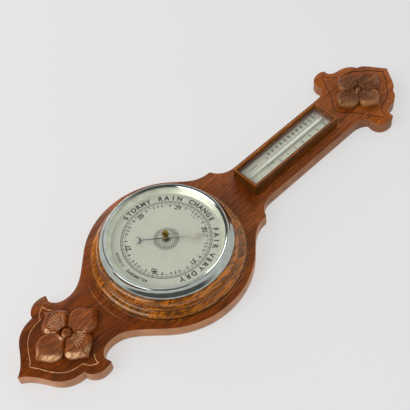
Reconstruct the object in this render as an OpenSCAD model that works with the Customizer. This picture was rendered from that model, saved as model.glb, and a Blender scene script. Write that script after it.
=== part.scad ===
// Wall barometer: a scrolled oak back board that carries a round aneroid barometer in a turned
// oak ring, a boxed thermometer on the neck above it and a carved flower at each end.
// It hangs upright. +Z is up, the front faces -Y, the back lies in the plane y = 0, and the
// origin is the centre of the hole in the hanging plate.

/* [Board] */
// Thickness of the back board
board_t = 21; // [17:0.5:28]
// Margin of board round the turned ring
board_margin = 11.1; // [8:0.1:16]
// Drop from the hanging hole to the centre of the dial
dial_drop = 450; // [445:1:460]
// Rise from the hanging hole to the point of the crest
crest_over = 74.8; // [68:0.2:84]
// Height of the foot's scrolls above its point
foot_scroll_h = 132.4; // [120:0.2:145]
// Height of the crest's scrolls below its point
crest_scroll_h = 139.8; // [130:0.2:150]
// Length of the foot below the turned ring
foot_len = 170.1; // [160:0.1:190]
// Width of the neck behind the thermometer
neck_w = 83; // [72:1:90]
// Width of the foot across its two horns
foot_w = 160.4; // [154:0.4:172]
// Width of the crest across its two horns
crest_w = 162.2; // [156:0.2:172]
// Rise from the top of the round part to the cusps of the shoulders
shoulder_over = 16.9; // [12:0.1:24]
// Width across the cusps of the shoulders
shoulder_w = 127.2; // [120:0.2:136]

/* [Carved flowers] */
// Height of the lower flower's rims above the board
lower_flower_t = 13; // [9:0.5:16]
// Height of the upper flower's rims above the board
upper_flower_t = 12; // [9:0.5:16]
// Width of the slope outside each rim
rim_slope = 5.4; // [3:0.2:7]
// Fall of that slope
rim_fall = 5; // [3:0.5:7]
// Width of the flat top of each rim
rim_top = 1.4; // [0.8:0.2:3]
// Depth of each petal's field below its rim
field_fall = 2.8; // [1.5:0.1:4]
// Rise from the point of the foot to the centre of the lower flower
lower_flower_up = 91.5; // [86:0.5:96]
// Reach of its upper and lower petals
lower_reach_z = 58; // [50:0.5:62]
// Reach of its side petals
lower_reach_x = 50.5; // [44:0.5:54]
// Width of its petals
lower_petal_w = 46; // [40:0.5:48]
// Drop from the hanging hole to the centre of the upper flower
upper_flower_under = 4; // [0:0.5:8]
// Reach of its upper and lower petals
upper_reach_z = 51; // [44:0.5:54]
// Reach of its side petals
upper_reach_x = 46.5; // [40:0.5:50]
// Width of its petals
upper_petal_w = 40; // [34:0.5:43]
// Radius of the domed boss in the middle
boss_r = 10; // [8:0.5:12]
// Gouged flutes on each petal
flutes = 7; // [3:2:9]

/* [Turned ring and bezel] */
// Width of the turned ring outside the bezel
ring_w = 19.4; // [16:0.2:24]
// Height of the turned ring above the board
ring_h = 29.7; // [24:0.1:34]
// Outer radius of the metal bezel
bezel_r = 103; // [92:0.5:115]
// Width of the bezel from its outer edge to the glass in sight
bezel_w = 13; // [11.5:0.1:14.5]
// Width of the bezel from its outer edge to its crest
bezel_crest_w = 8.4; // [7.5:0.1:9.2]
// Width of the bezel from its outer edge to its bore
bezel_wall_w = 9.7; // [8.7:0.1:10.7]
// Depth of the glass below the bezel's crest
lip_fall = 2.5; // [2:0.1:3.5]
// Thickness of the dial glass
glass_t = 2.4; // [1.8:0.1:2.8]
// Room for the hands between the dial and the glass
hand_room = 6.6; // [6:0.1:9]

/* [Instrument case and dial] */
// Outer radius of the spun case
case_r = 74; // [66:0.5:81]
// Thickness of the case's sheet
case_wall = 1; // [0.8:0.1:1.4]
// Depth at which the case's back is sunk behind the board
case_back = 3; // [2.6:0.1:4]
// Height of the case's rim above the ring
rim_h = 8.3; // [6:0.1:8.6]
// Gap round the dial plate inside the case's rim
dial_gap = 2; // [1:0.1:3]
// Thickness of the dial plate
dial_t = 1; // [0.6:0.1:1.4]
// Height of the dial's face above the turned ring
dial_face_h = 4.7; // [4.4:0.1:5.2]
// Width of the sloping reflector ring
reflector_w = 8.4; // [7:0.1:10]
// Radius of the hole in the middle of the dial
dial_hole_r = 3.5; // [2.6:0.1:4.5]

/* [Hands and knob] */
// Reading of the pressure hand, clockwise from the top
pressure_angle = 40; // [-60:1:100]
// Reading of the set hand, clockwise from the top
set_angle = 43; // [-60:1:100]
// Length of the pressure hand from its centre to its tip
hand_len = 60; // [50:0.5:66]
// Distance from its centre to the middle of the crescent on its tail
crescent_at = 44; // [36:0.5:50]
// Outer radius of the crescent
crescent_r = 6; // [4.5:0.1:7]
// Length of the set hand
set_hand_len = 63; // [54:0.5:68]
// Thickness of both hands
hand_t = 0.4; // [0.3:0.05:0.6]
// Radius of the set knob
knob_r = 5.4; // [4.6:0.1:6.5]
// Height of the set knob
knob_h = 7.6; // [6:0.1:9]
// Grooves of the knob's knurling
knurls = 24; // [16:1:32]
// Radius of the set spindle
spindle_r = 2.44; // [1.8:0.02:2.6]

/* [Movement] */
// Radius of the movement plate
plate_r = 52; // [46:0.5:58]
// Distance of its screws and pillars from its edge
plate_edge = 6; // [5:0.5:8]
// Thickness of the movement plate
plate_t = 2; // [1.6:0.1:2.6]
// Height of the bosses that the plate stands on
plate_boss_h = 2; // [1.8:0.1:2.6]
// Gap between the vacuum capsule and the link of the lever
capsule_gap = 3; // [2:0.1:8]
// Thickness of the vacuum capsule
capsule_t = 7; // [5:0.5:8]
// Corrugations on each face of the capsule
corrugations = 4; // [3:1:5]
// Room between the capsule's boss and the spring above it
spring_room = 5.65; // [4:0.05:8]
// Distance of the rocking shaft from the movement plate's edge
rocker_edge = 16; // [14:0.5:18]
// Height of the rocking shaft above the movement plate
rocker_h = 8; // [7:0.5:9]
// Length of the chain arm
chain_arm_len = 26; // [24:0.5:27]
// Length of the crank
crank_len = 3.2; // [3:0.1:3.8]
// Radius of the pulley's core
pulley_r = 1.4; // [1.1:0.1:1.6]
// Radius of the pointer arbor
arbor_r = 0.75; // [0.6:0.05:0.9]
// Thickness of the main leaf spring
spring_t = 1; // [0.7:0.1:1.3]
// Turns of the hairspring
hairspring_turns = 4; // [3:1:5]

/* [Thermometer] */
// Width of the thermometer box
box_w = 50.5; // [46:0.5:56]
// Gap between the turned ring and the thermometer box
box_under_gap = 45.6; // [38:0.1:55]
// Gap between the thermometer box and the upper flower
box_over_gap = 33; // [28:0.5:45]
// Height of the box above the board
box_h = 24.2; // [22:0.1:27]
// Thickness of the box's rails
rail_t = 4.5; // [4:0.1:5.2]
// Width of the sloping rim round the glass
rim_w = 5.5; // [5.3:0.1:6.5]
// Fall of the rim from its ridge to the glass
rim_drop = 3.4; // [2:0.1:4.5]
// Thickness of the box glass
box_glass_t = 2; // [1.5:0.1:2.5]
// Gap between the tube's clips and the glass
tube_room = 1.65; // [0.5:0.05:3]
// Thickness of the scale plate
scale_t = 1.2; // [0.8:0.1:1.5]
// Radius of the thermometer tube
tube_r = 2.6; // [2:0.1:3]
// Rise from the bottom of the box to the bottom of the bulb
bulb_rise = 13.4; // [11:0.2:20]
// Length of the bulb
bulb_len = 29.6; // [24:0.2:34]
// Radius of the bulb
bulb_r = 1.45; // [1.2:0.05:1.8]
// Gap between the tube and the end of the box
tube_end_gap = 10; // [8:0.5:30]

/* [Hanging plate] */
// Radius of the hole for the head of the wall screw
key_r = 4.2; // [3.6:0.1:5]
// Width of the slot for the neck of the wall screw
slot_w = 4.6; // [3.6:0.1:5]
// Length of the slot above the hole
slot_len = 11; // [9:0.5:14]
// Width of the hanging plate
hang_w = 26; // [22:0.5:30]
// Length of the hanging plate
hang_len = 60; // [56:1:66]
// Thickness of the hanging plate
hang_t = 2; // [1.8:0.1:2.6]

/* [Fits] */
// Gap round a screw or pin that is driven home
fit_gap = 0.05; // [0.02:0.01:0.1]
// Radial gap of a shaft that turns in its bearing
run_gap = 0.06; // [0.03:0.01:0.09]
// Gap between a part and the hole that it drops into
seat_gap = 0.5; // [0.3:0.1:0.8]
// Gap between parts that move past each other
clear_gap = 0.15; // [0.1:0.05:0.3]

/* [Hidden] */
$fn = 72;

oak = [0.45, 0.22, 0.10];
carved_oak = [0.42, 0.23, 0.14];
turned_oak = [0.55, 0.30, 0.12];
box_oak = [0.50, 0.24, 0.09];
chrome = [0.80, 0.82, 0.80];
silvered = [0.80, 0.80, 0.74];
brass = [0.72, 0.55, 0.25];
steel = [0.60, 0.60, 0.62];
blued = [0.22, 0.28, 0.34];
clear_glass = [0.80, 0.88, 0.84, 0.35];

// Depths are measured forward from the plane of the back. A row of them follows the stack.
ring_top = board_t + ring_h;
dial_front = ring_top + dial_face_h;
dial_back = dial_front - dial_t;
glass_back = dial_front + hand_room;
glass_front = glass_back + glass_t;
bezel_h = glass_front + lip_fall - ring_top;

// Radii round the dial, from the outside in
ring_r = bezel_r + ring_w;
disc_r = ring_r + board_margin;
bezel_crest_r = bezel_r - bezel_crest_w;
sight_r = bezel_r - bezel_w;
bezel_bore_r = bezel_r - bezel_wall_w;
glass_r = bezel_bore_r - 0.2;
rim_r = bezel_bore_r - 0.3;
reflector_out = glass_r - 0.2;
reflector_r = reflector_out - reflector_w;
dial_r = rim_r - case_wall - dial_gap;
case_floor = case_back + case_wall;
plate_back = case_floor + plate_boss_h;
plate_top = plate_back + plate_t;

// Heights along the board, from the centre of the dial
crest_rise = dial_drop + crest_over;
foot_drop = ring_r + foot_len;
shoulder_rise = disc_r + shoulder_over;
lower_flower_drop = foot_drop - lower_flower_up;
upper_flower_rise = dial_drop - upper_flower_under;
box_rise = ring_r + box_under_gap;
box_top = upper_flower_rise - upper_reach_z - box_over_gap;
box_len = box_top - box_rise;

// Where the board's outline leaves the disc, and the handles of its curves there
disc_angle = 44;
disc_point = [disc_r * cos(disc_angle), disc_r * sin(disc_angle)];
disc_tangent = [-sin(disc_angle), cos(disc_angle)];

// Screws
ring_screw_r = 2.1;
ring_screw_head = 4.2;
ring_screw_at = (case_r + ring_r) / 2;
ring_screw_len = board_t + ring_h / 2;
box_screw_r = 1.2;
box_screw_head = 2.6;
box_screw_len = board_t + box_h / 2;
case_screw_r = 1.5;
case_screw_at = (case_r + rim_r) / 2;
case_screw_len = 10;
small_r = 1;
small_head_r = 2;
small_head_h = 1.4;
move_screw_r = 1.5;
move_screw_head_r = 3;
move_screw_head_h = 1.6;
move_screw_at = plate_r - plate_edge;
move_screw_angles = [0, 90, 180];
pillar_angles = [45, 135, 225, 315];
pillar_r = 3;
pillar_screw_len = 8;

// Capsule, spring and bridge
foot_t = 2;
capsule_boss_h = 2;
capsule_top = plate_top + capsule_boss_h + capsule_t + 1.5;
bridge_edge = 7;
bridge_y = bridge_edge - plate_r;
bridge_half = 14;
spring_back = capsule_top + spring_room;
bridge_top = spring_back - clear_gap;
spring_top = spring_back + spring_t;
clamp_back = spring_top + clear_gap;
clamp_t = 1.5;
screw_x = 9;
post_r = 2.2;
post_gap = 0.35;
post_top = spring_top + 3;
pin_r = 0.5;
pin_at = spring_top + pin_r + fit_gap;
lever_t = 2.5;
lever_x = -7;
lever_w = 3;
lever_pin_d = spring_top + lever_t / 2;

// Rocking shaft, link and chain
rocker_d = plate_top + rocker_h;
rocker_y = plate_r - rocker_edge;
crank_y = rocker_y - crank_len;
shaft_r = 1;
ear_t = 1.4;
ear_left = -10;
ear_right = 8.3;
link_x = -3.8;
link_t = 1;
link_eye_r = 1.8;
capsule_r = crank_y - link_eye_r - capsule_gap;
open_pivot_r = 0.8;
crank_x = -1.9;
arm_t = 1.2;
chain_r = pulley_r + 0.4;
chain_d = rocker_d + chain_arm_len;
chain_pitch = 1.8;

// Arbor and its bearings
cock_t = 1.2;
cock_d = chain_d - 6;
cock_leg_x = -11;
bridge_bar_d = chain_d + 4;
bridge_bar_t = 1.5;
bridge_bar_w = 10;
arbor_pillar_edge = 19;
arbor_pillar_x = plate_r - arbor_pillar_edge;
arbor_pillar_r = 2.6;
cock_screw_x = -15;
cock_screw_r = 0.8;
pulley_t = 2.8;
collar_r = 1.3;
hairspring_d = cock_d + cock_t + 1.4;
hairspring_w = 0.6;
hairspring_t = 0.24;

// Hands and set spindle
hand_back = dial_front + 2.6;
arbor_top = hand_back + hand_t + 0.2;
washer_t = 0.5;
washer_top = glass_back - 0.2;
set_hand_front = washer_top - washer_t;
set_hand_back = set_hand_front - hand_t;
set_nut_t = 1.2;
knob_foot = glass_front + 0.2;

// Thermometer
box_glass_front = board_t + box_h - rim_drop - 1;
box_glass_back = box_glass_front - box_glass_t;
clip_t = 0.6;
tube_d = box_glass_back - tube_room - clip_t - fit_gap - tube_r;
scale_front = tube_d - tube_r - clip_t - 2 * fit_gap;
scale_back = scale_front - scale_t;
backing_t = scale_back - board_t;
bulb_y = box_rise + bulb_rise;
tube_y = bulb_y + bulb_len;
tube_end = box_top - tube_end_gap;
tube_len = tube_end - tube_y;
column_r = 0.5;
clip_w = 3;
clips_y = [tube_y + 4, tube_end - 8];
scale_screw_r = 0.8;
scale_screw_x = box_w / 2 - rim_w - 3;
scale_screws_y = [box_rise + rim_w + 3, box_top - rim_w - 3];
box_screw_y = [box_rise + box_len * 0.2, box_rise + box_len * 0.8];
adjust_r = 1.95;
adjust_head_r = 3.6;

// Stands a flat drawing up against the board: its x is +X, its y is +Z, its z comes forward.
module front(d = 0) translate([0, -d, 0]) rotate([90, 0, 0]) children();
// The same, with y measured from the centre of the dial.
module at_dial(d = 0) translate([0, 0, -dial_drop]) front(d) children();
// The same, for a cylinder that runs along X.
module along_x(x, y, d) at_dial() translate([x, y, d]) rotate([0, 90, 0]) children();

// Points of a Bezier curve after its first point.
function curve(a, b, c, d, n = 9) = [for (i = [1 : n]) let (t = i / n, s = 1 - t)
    s * s * s * a + 3 * s * s * t * b + 3 * s * t * t * c + t * t * t * d];
function stretched(k, m, points) = [for (p = points) [k * p[0], m * p[1]]];
function back_to_front(points) = [for (i = [len(points) - 1 : -1 : 0]) points[i]];
function mirrored(points) = [for (p = points) [-p[0], p[1]]];

// The foot, from its point up to the disc, drawn from the foot's point upwards.
function foot_half() = let (k = foot_w / 160.4, m = foot_scroll_h / 132.4,
        leave = [disc_point[0], foot_drop - disc_point[1]])
    concat(stretched(k, m, concat([[0, 0]],
        curve([0, 0], [7, 11.5], [17, 18.5], [33.9, 28.4], 7),
        curve([33.9, 28.4], [50, 37], [60.5, 49.5], [62, 72.5]),
        curve([62, 72.5], [74, 75], [81.5, 87.5], [80.2, 98.2]),
        curve([80.2, 98.2], [80, 104.5], [79, 107.5], [77, 110.5], 4),
        [[66.4, 107.3]],
        curve([66.4, 107.3], [55, 111.5], [50.8, 120.5], [50.8, 132.4]))),
        curve([50.8 * k, foot_scroll_h], [50.8 * k, 1.18 * foot_scroll_h], leave - [29.2, 30.2], leave));
// The crest, from the neck up to its point, drawn from the point downwards.
function crest_half() = let (k = crest_w / 162.2, m = crest_scroll_h / 139.8, n = neck_w / 2 / k)
    stretched(k, m, concat([[n, -139.8]],
        curve([n, -139.8], [n, -127.8], [45, -117.8], [52.5, -111.8], 6),
        curve([52.5, -111.8], [62, -115.3], [81, -114.8], [81.1, -90.1]),
        curve([81.1, -90.1], [81.1, -84.8], [79, -81.3], [76.7, -78.8], 4),
        curve([76.7, -78.8], [66, -80.8], [61, -73.8], [59.5, -61.8], 7),
        curve([59.5, -61.8], [58.5, -47.8], [49, -35.8], [39.7, -34.1]),
        curve([39.7, -34.1], [38, -21.8], [24, -16.8], [0, 0])));
// The shoulder, from the disc up to the neck.
function shoulder_half() = let (cusp = [shoulder_w / 2, shoulder_rise], n = neck_w / 2)
    concat(
        curve(disc_point, disc_point + 26 * disc_tangent, cusp + [0.9, -26.4], cusp + [0.8, -3]),
        [cusp],
        curve(cusp, cusp + [-13.6, 6], [n, shoulder_rise + 17.6], [n, shoulder_rise + 34.6]));
function disc_half() = [for (a = [-disc_angle + 2 : 2 : disc_angle]) disc_r * [cos(a), sin(a)]];
function board_half() = concat(
    [for (p = foot_half()) p - [0, foot_drop]],
    disc_half(),
    shoulder_half(),
    [for (p = crest_half()) p + [0, crest_rise]]);
function board_outline() = let (half = board_half())
    concat(half, back_to_front(mirrored([for (i = [1 : len(half) - 2]) half[i]])));

// A flush wood screw that points backwards, with its head's face at z = 0.
module wood_screw(r, length, head_r) {
    head_h = head_r - r;
    difference() {
        union() {
            translate([0, 0, -length + 2 * r]) cylinder(r = r, h = length - 2 * r - head_h, $fn = 32);
            translate([0, 0, -length]) cylinder(r1 = 0.3, r2 = r, h = 2 * r, $fn = 32);
            translate([0, 0, -head_h]) cylinder(r1 = r, r2 = head_r, h = head_h, $fn = 32);
        }
        translate([-head_r - 1, -head_r / 8, -head_h / 2]) cube([2 * head_r + 2, head_r / 4, head_h]);
    }
}
// The hole that such a screw is driven into.
module wood_screw_hole(r, length, head_r) {
    translate([0, 0, -length - fit_gap]) cylinder(r = r + fit_gap, h = length + 1, $fn = 32);
    translate([0, 0, r - head_r]) cylinder(r1 = r + fit_gap, r2 = head_r + fit_gap, h = head_r - r, $fn = 32);
    cylinder(r = head_r + fit_gap, h = 1, $fn = 32);
}
// A cheese-headed machine screw that points backwards, with its head standing on z = 0.
module machine_screw(r, length, head_r, head_h) difference() {
    union() {
        translate([0, 0, -length]) cylinder(r = r, h = length, $fn = 32);
        cylinder(r = head_r, h = head_h, $fn = 32);
    }
    translate([-head_r - 1, -head_r / 7, head_h * 0.55]) cube([2 * head_r + 2, head_r / 3.5, head_h]);
}
module small_screw(length) machine_screw(small_r, length, small_head_r, small_head_h);

// Turns a child round the dial's centre to each of a list of angles, at a radius.
module ring_of(radius, angles) for (a = angles) rotate(a) translate([radius, 0, 0]) children();
module from_behind() rotate([180, 0, 0]) children();

/* Board and carvings */

module back_board() color(oak) difference() {
    at_dial() linear_extrude(board_t) difference() {
        polygon(board_outline());
        circle(r = case_r + seat_gap, $fn = 96);
    }
    at_dial() ring_of(ring_screw_at, [45, 135, 225, 315]) from_behind()
        wood_screw_hole(ring_screw_r, ring_screw_len, ring_screw_head);
    at_dial() box_screw_places() from_behind()
        wood_screw_hole(box_screw_r, box_screw_len, box_screw_head);
    front(-1) linear_extrude(hang_t + 1 + fit_gap) hanging_outline(fit_gap);
    front(hang_t) linear_extrude(board_t / 2) {
        circle(r = key_r + 2.8);
        translate([-key_r - 2.8, 0]) square([2 * key_r + 5.6, slot_len]);
        translate([0, slot_len]) circle(r = key_r + 2.8);
    }
    hanging_screw_places() from_behind() wood_screw_hole(1.5, 14, 3.2);
}
module box_screw_places() for (side = [-1, 1], y = box_screw_y)
    translate([side * (box_w - rail_t) / 2, y, 0]) children();

// The side of a petal that points along +Y, from the valley between two petals to its tip.
function petal_side(reach, width) = let (valley = 0.457 * width) concat([[valley, valley]],
    curve([valley, valley], [0.54 * width, 0.51 * reach], [0.51 * width, 0.63 * reach],
        [0.37 * width, 0.75 * reach], 6),
    curve([0.37 * width, 0.75 * reach], [0.22 * width, 0.84 * reach], [0.09 * width, 0.89 * reach],
        [0, reach], 5));
function all_but_last(points) = [for (i = [0 : len(points) - 2]) points[i]];
// A quarter of the flower's outline, from the tip of its right petal to the tip of its upper one.
function flower_quarter(reach_z, reach_x, width) = concat(
    back_to_front([for (p = petal_side(reach_x, width)) [p[1], p[0]]]),
    [for (i = [1 : len(petal_side(reach_z, width)) - 1]) petal_side(reach_z, width)[i]]);
function flower_outline(reach_z, reach_x, width) = let (q = flower_quarter(reach_z, reach_x, width))
    concat(all_but_last(q), all_but_last(back_to_front(mirrored(q))), all_but_last(-q),
        all_but_last(back_to_front(mirrored(-q))));

// Carries what lies on a petal to the petal's own middle, where its slopes and its field centre.
module on_petal(reach) translate([0, 0.55 * reach, 0]) children();
// The petal's whole outline about that middle, drawn in by a distance all round.
module petal_shape(reach, width, inset) let (middle = [0, 0.55 * reach], side = petal_side(reach, width))
    scale(1 - inset / (reach - middle[1])) polygon([for (p =
        concat([[0, 0]], side, back_to_front(mirrored(all_but_last(side))))) p - middle]);

// A carved flower: four petals whose rims slope outward round fluted fields, and a domed boss.
module flower(height, reach_z, reach_x, width) {
    slope_h = height - rim_fall;
    field_h = height - field_fall;
    flute_from = boss_r + 3;
    difference() {
        union() {
            linear_extrude(slope_h) polygon(flower_outline(reach_z, reach_x, width));
            for (turn = [0 : 3]) let (reach = turn % 2 == 0 ? reach_z : reach_x) rotate(turn * 90)
                on_petal(reach) translate([0, 0, slope_h])
                    linear_extrude(rim_fall, scale = 1 - rim_slope / (0.45 * reach))
                        petal_shape(reach, width, 0);
        }
        for (turn = [0 : 3]) let (reach = turn % 2 == 0 ? reach_z : reach_x) rotate(turn * 90) {
            on_petal(reach) translate([0, 0, field_h]) linear_extrude(height)
                petal_shape(reach, width, rim_slope + rim_top);
            for (i = [0 : flutes - 1]) rotate((i - (flutes - 1) / 2) * 50 / flutes)
                translate([0, flute_from, field_h + 0.6]) rotate([-90, 0, 0])
                    cylinder(r1 = 0.9, r2 = 2, h = reach * 0.66 - flute_from, $fn = 24);
        }
    }
    intersection() {
        translate([0, 0, height - boss_r * 0.9]) sphere(r = boss_r);
        cylinder(r = 2 * boss_r, h = 2 * height);
    }
}
module lower_carving() color(carved_oak) at_dial(board_t) translate([0, -lower_flower_drop, 0])
    flower(lower_flower_t, lower_reach_z, lower_reach_x, lower_petal_w);
module upper_carving() color(carved_oak) at_dial(board_t) translate([0, upper_flower_rise, 0])
    flower(upper_flower_t, upper_reach_z, upper_reach_x, upper_petal_w);

/* Turned ring and bezel */

// The ring's moulding, as shares of its width outside the bezel and of its height.
module bezel_surround() color(turned_oak) {
    inner = bezel_r + 1.2;
    w = ring_r - inner;
    fillet = [[inner + w, 0], [inner + w, 0.04 * ring_h], [inner + 0.956 * w, 0.067 * ring_h]];
    bead = concat([[inner + 0.868 * w, 0.067 * ring_h]],
        curve([inner + 0.868 * w, 0.067 * ring_h], [inner + 0.96 * w, 0.19 * ring_h],
            [inner + 0.80 * w, 0.33 * ring_h], [inner + 0.511 * w, 0.33 * ring_h]));
    cove = curve([inner + 0.511 * w, 0.33 * ring_h], [inner + 0.33 * w, 0.343 * ring_h],
        [inner + 0.275 * w, 0.438 * ring_h], [inner + 0.264 * w, 0.556 * ring_h], 6);
    ovolo = concat([[inner + 0.308 * w, 0.572 * ring_h]],
        curve([inner + 0.308 * w, 0.572 * ring_h], [inner + 0.33 * w, 0.774 * ring_h],
            [inner + 0.209 * w, 0.976 * ring_h], [inner, ring_h]));
    difference() {
        at_dial(board_t) rotate_extrude($fn = 96) polygon(concat([[case_r + seat_gap, 0]],
            fillet, bead, cove, ovolo, [[case_r + seat_gap, ring_h]]));
        at_dial() ring_of(ring_screw_at, [45, 135, 225, 315]) from_behind()
            wood_screw_hole(ring_screw_r, ring_screw_len, ring_screw_head);
        at_dial(ring_top + case_wall) ring_of(case_screw_at, [30, 150, 270])
            wood_screw_hole(case_screw_r, case_screw_len, case_screw_r + 0.01);
    }
}
module surround_screws() color(brass) at_dial() ring_of(ring_screw_at, [45, 135, 225, 315])
    from_behind() wood_screw(ring_screw_r, ring_screw_len, ring_screw_head);

// A turned bezel: flange, cove, bright roll and the lip that holds the glass.
module metal_bezel() color(chrome) at_dial(ring_top) rotate_extrude($fn = 96) {
    roll_foot = bezel_crest_r + 3.8;
    lip_back = bezel_h - lip_fall;
    polygon(concat(
        [[bezel_bore_r, 0], [bezel_r, 0], [bezel_r, 1.4], [bezel_r - 0.6, 2], [bezel_r - 1.8, 2]],
        curve([bezel_r - 1.8, 2], [bezel_r - 3.6, 3.2], [roll_foot + 0.2, 0.4 * bezel_h],
            [roll_foot, 0.6 * bezel_h], 6),
        [[roll_foot + 0.5, 0.64 * bezel_h]],
        curve([roll_foot + 0.5, 0.64 * bezel_h], [roll_foot + 0.6, 0.9 * bezel_h],
            [bezel_crest_r + 2, bezel_h], [bezel_crest_r, bezel_h], 8),
        curve([bezel_crest_r, bezel_h], [bezel_crest_r - 1.8, bezel_h],
            [sight_r + 1.4, lip_back + 1.7], [sight_r, lip_back + 0.5], 6),
        [[sight_r, lip_back], [bezel_bore_r, lip_back]]));
}
module dial_glass() color(clear_glass) at_dial(glass_back) difference() {
    cylinder(r = glass_r, h = glass_t, $fn = 96);
    translate([0, 0, -1]) cylinder(r = spindle_r + run_gap, h = glass_t + 2, $fn = 32);
}
module reflector_ring() color(chrome) at_dial() rotate_extrude($fn = 96) polygon([
    [reflector_r, dial_front], [reflector_r + 1.1, dial_front], [reflector_out, glass_back - 0.6],
    [reflector_out, glass_back], [reflector_out - 0.9, glass_back]]);

/* Case, dial and pillars */

module instrument_case() color(steel) difference() {
    union() {
        at_dial() rotate_extrude($fn = 96) polygon([[0, case_back], [case_r, case_back],
            [case_r, ring_top], [rim_r, ring_top], [rim_r, ring_top + rim_h],
            [rim_r - case_wall, ring_top + rim_h], [rim_r - case_wall, ring_top + case_wall],
            [case_r - case_wall, ring_top + case_wall], [case_r - case_wall, case_floor],
            [0, case_floor]]);
        at_dial(case_floor) ring_of(move_screw_at, move_screw_angles)
            cylinder(r = 5, h = plate_boss_h, $fn = 32);
    }
    at_dial(case_back - 1) {
        ring_of(move_screw_at, move_screw_angles)
            cylinder(r = move_screw_r + fit_gap, h = plate_top, $fn = 32);
        translate([0, bridge_y, 0]) cylinder(r = adjust_r + 0.6, h = case_wall + 2, $fn = 32);
    }
    at_dial(ring_top - 1) ring_of(case_screw_at, [30, 150, 270])
        cylinder(r = case_screw_r + fit_gap, h = case_wall + 2, $fn = 32);
}
module case_screws() color(steel) at_dial(ring_top + case_wall) ring_of(case_screw_at, [30, 150, 270])
    machine_screw(case_screw_r, case_screw_len, 2.8, 1.6);
module dial_plate() color(silvered) at_dial(dial_back) difference() {
    cylinder(r = dial_r, h = dial_t, $fn = 96);
    translate([0, 0, -1]) cylinder(r = dial_hole_r, h = dial_t + 2);
}
module pillar_places() ring_of(move_screw_at, pillar_angles) children();
module dial_pillars() color(brass) at_dial(plate_top) pillar_places() difference() {
    cylinder(r = pillar_r, h = dial_back - plate_top, $fn = 32);
    translate([0, 0, -1]) cylinder(r = move_screw_r + fit_gap, h = pillar_screw_len + 1, $fn = 32);
}
module pillar_screws() color(steel) at_dial(plate_back) pillar_places() from_behind()
    machine_screw(move_screw_r, plate_t + pillar_screw_len - 1, 2.8, plate_boss_h - 0.4);

/* Movement */

module foot_screw_places() {
    for (side = [-1, 1]) translate([side * screw_x, bridge_y, foot_t]) children();
    for (x = [-6.2, 5.2]) translate([x, rocker_y, foot_t]) children();
}
module movement_plate() color(brass) at_dial(plate_back) difference() {
    cylinder(r = plate_r, h = plate_t, $fn = 96);
    translate([0, 0, -1]) {
        pillar_places() cylinder(r = move_screw_r + fit_gap, h = plate_t + 2, $fn = 32);
        ring_of(move_screw_at, move_screw_angles)
            cylinder(r = move_screw_r + fit_gap, h = plate_t + 2, $fn = 32);
        translate([0, bridge_y, 0]) cylinder(r = adjust_r + run_gap, h = plate_t + 2, $fn = 32);
        foot_screw_places() translate([0, 0, -foot_t])
            cylinder(r = small_r + fit_gap, h = plate_t + 2, $fn = 32);
    }
}
module movement_screws() color(steel) at_dial(case_back) ring_of(move_screw_at, move_screw_angles)
    from_behind() machine_screw(move_screw_r, plate_top - case_back, move_screw_head_r, move_screw_head_h);

// A flat sealed capsule, pressed from two corrugated discs.
module vacuum_capsule() color(brass) {
    steps = corrugations * 8;
    wave = 0.55;
    low = plate_top + capsule_boss_h;
    mid = capsule_t / 2;
    edge = [for (i = [0 : steps])
        [5 + (capsule_r - 6) * i / steps, mid - wave - 0.5 + wave * cos(i * 45)]];
    at_dial() rotate_extrude($fn = 96) translate([0, low]) polygon(concat(
        [[0, -capsule_boss_h], [5, -capsule_boss_h]],
        [for (p = edge) [p[0], mid - p[1]]],
        [[capsule_r, mid - 0.4], [capsule_r, mid + 0.4]],
        back_to_front([for (p = edge) [p[0], mid + p[1]]]),
        [[4, capsule_t - 1], [4, capsule_t + 1.5], [0, capsule_t + 1.5]]));
}
module capsule_post() color(steel) difference() {
    at_dial(capsule_top + post_gap)
        cylinder(r = post_r, h = post_top - capsule_top - post_gap, $fn = 32);
    along_x(-post_r - 1, 0, pin_at) cylinder(r = pin_r + fit_gap, h = 2 * post_r + 2, $fn = 24);
}
module knife_pin() color(steel) along_x(-4.2, 0, pin_at) cylinder(r = pin_r, h = 8.4, $fn = 24);

module spring_bridge() color(steel) at_dial(plate_top) difference() {
    translate([0, bridge_y, 0]) {
        translate([-bridge_half, -4, 0]) cube([2 * bridge_half, 9, foot_t]);
        translate([-bridge_half, 3, 0]) cube([2 * bridge_half, 2, bridge_top - plate_top]);
        translate([-bridge_half, -4.5, bridge_top - plate_top - foot_t])
            cube([2 * bridge_half, 9.5, foot_t]);
    }
    foot_screw_places() translate([0, 0, -foot_t - 1])
        cylinder(r = small_r + fit_gap, h = foot_t + 2, $fn = 32);
    for (side = [-1, 1]) translate([side * screw_x, bridge_y, bridge_top - plate_top - foot_t - 1])
        cylinder(r = small_r + fit_gap, h = foot_t + 2, $fn = 32);
}
module foot_screws() color(steel) at_dial(plate_top) foot_screw_places() small_screw(foot_t + plate_t);
module clamp_places() for (side = [-1, 1]) translate([side * screw_x, bridge_y, 0]) children();
module clamp_plate() color(steel) at_dial(clamp_back) difference() {
    translate([-bridge_half, bridge_y - 4.5, 0]) cube([2 * bridge_half, 9, clamp_t]);
    translate([0, 0, -1]) clamp_places() cylinder(r = small_r + fit_gap, h = clamp_t + 2, $fn = 32);
}
module clamp_screws() color(steel) at_dial(clamp_back + clamp_t) clamp_places()
    small_screw(clamp_t + spring_t + 2 * clear_gap + foot_t);
module main_spring() color(blued) at_dial(spring_back) linear_extrude(spring_t) difference() {
    tip = 7;
    polygon([[-13, bridge_y - 4], [13, bridge_y - 4], [13, bridge_y + 8], [6.5, tip - 3], [4, tip],
        [-4, tip], [-6.5, tip - 3], [-13, bridge_y + 8]]);
    circle(r = post_r + 0.2, $fn = 32);
    clamp_places() circle(r = small_r + 0.4, $fn = 32);
}
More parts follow.
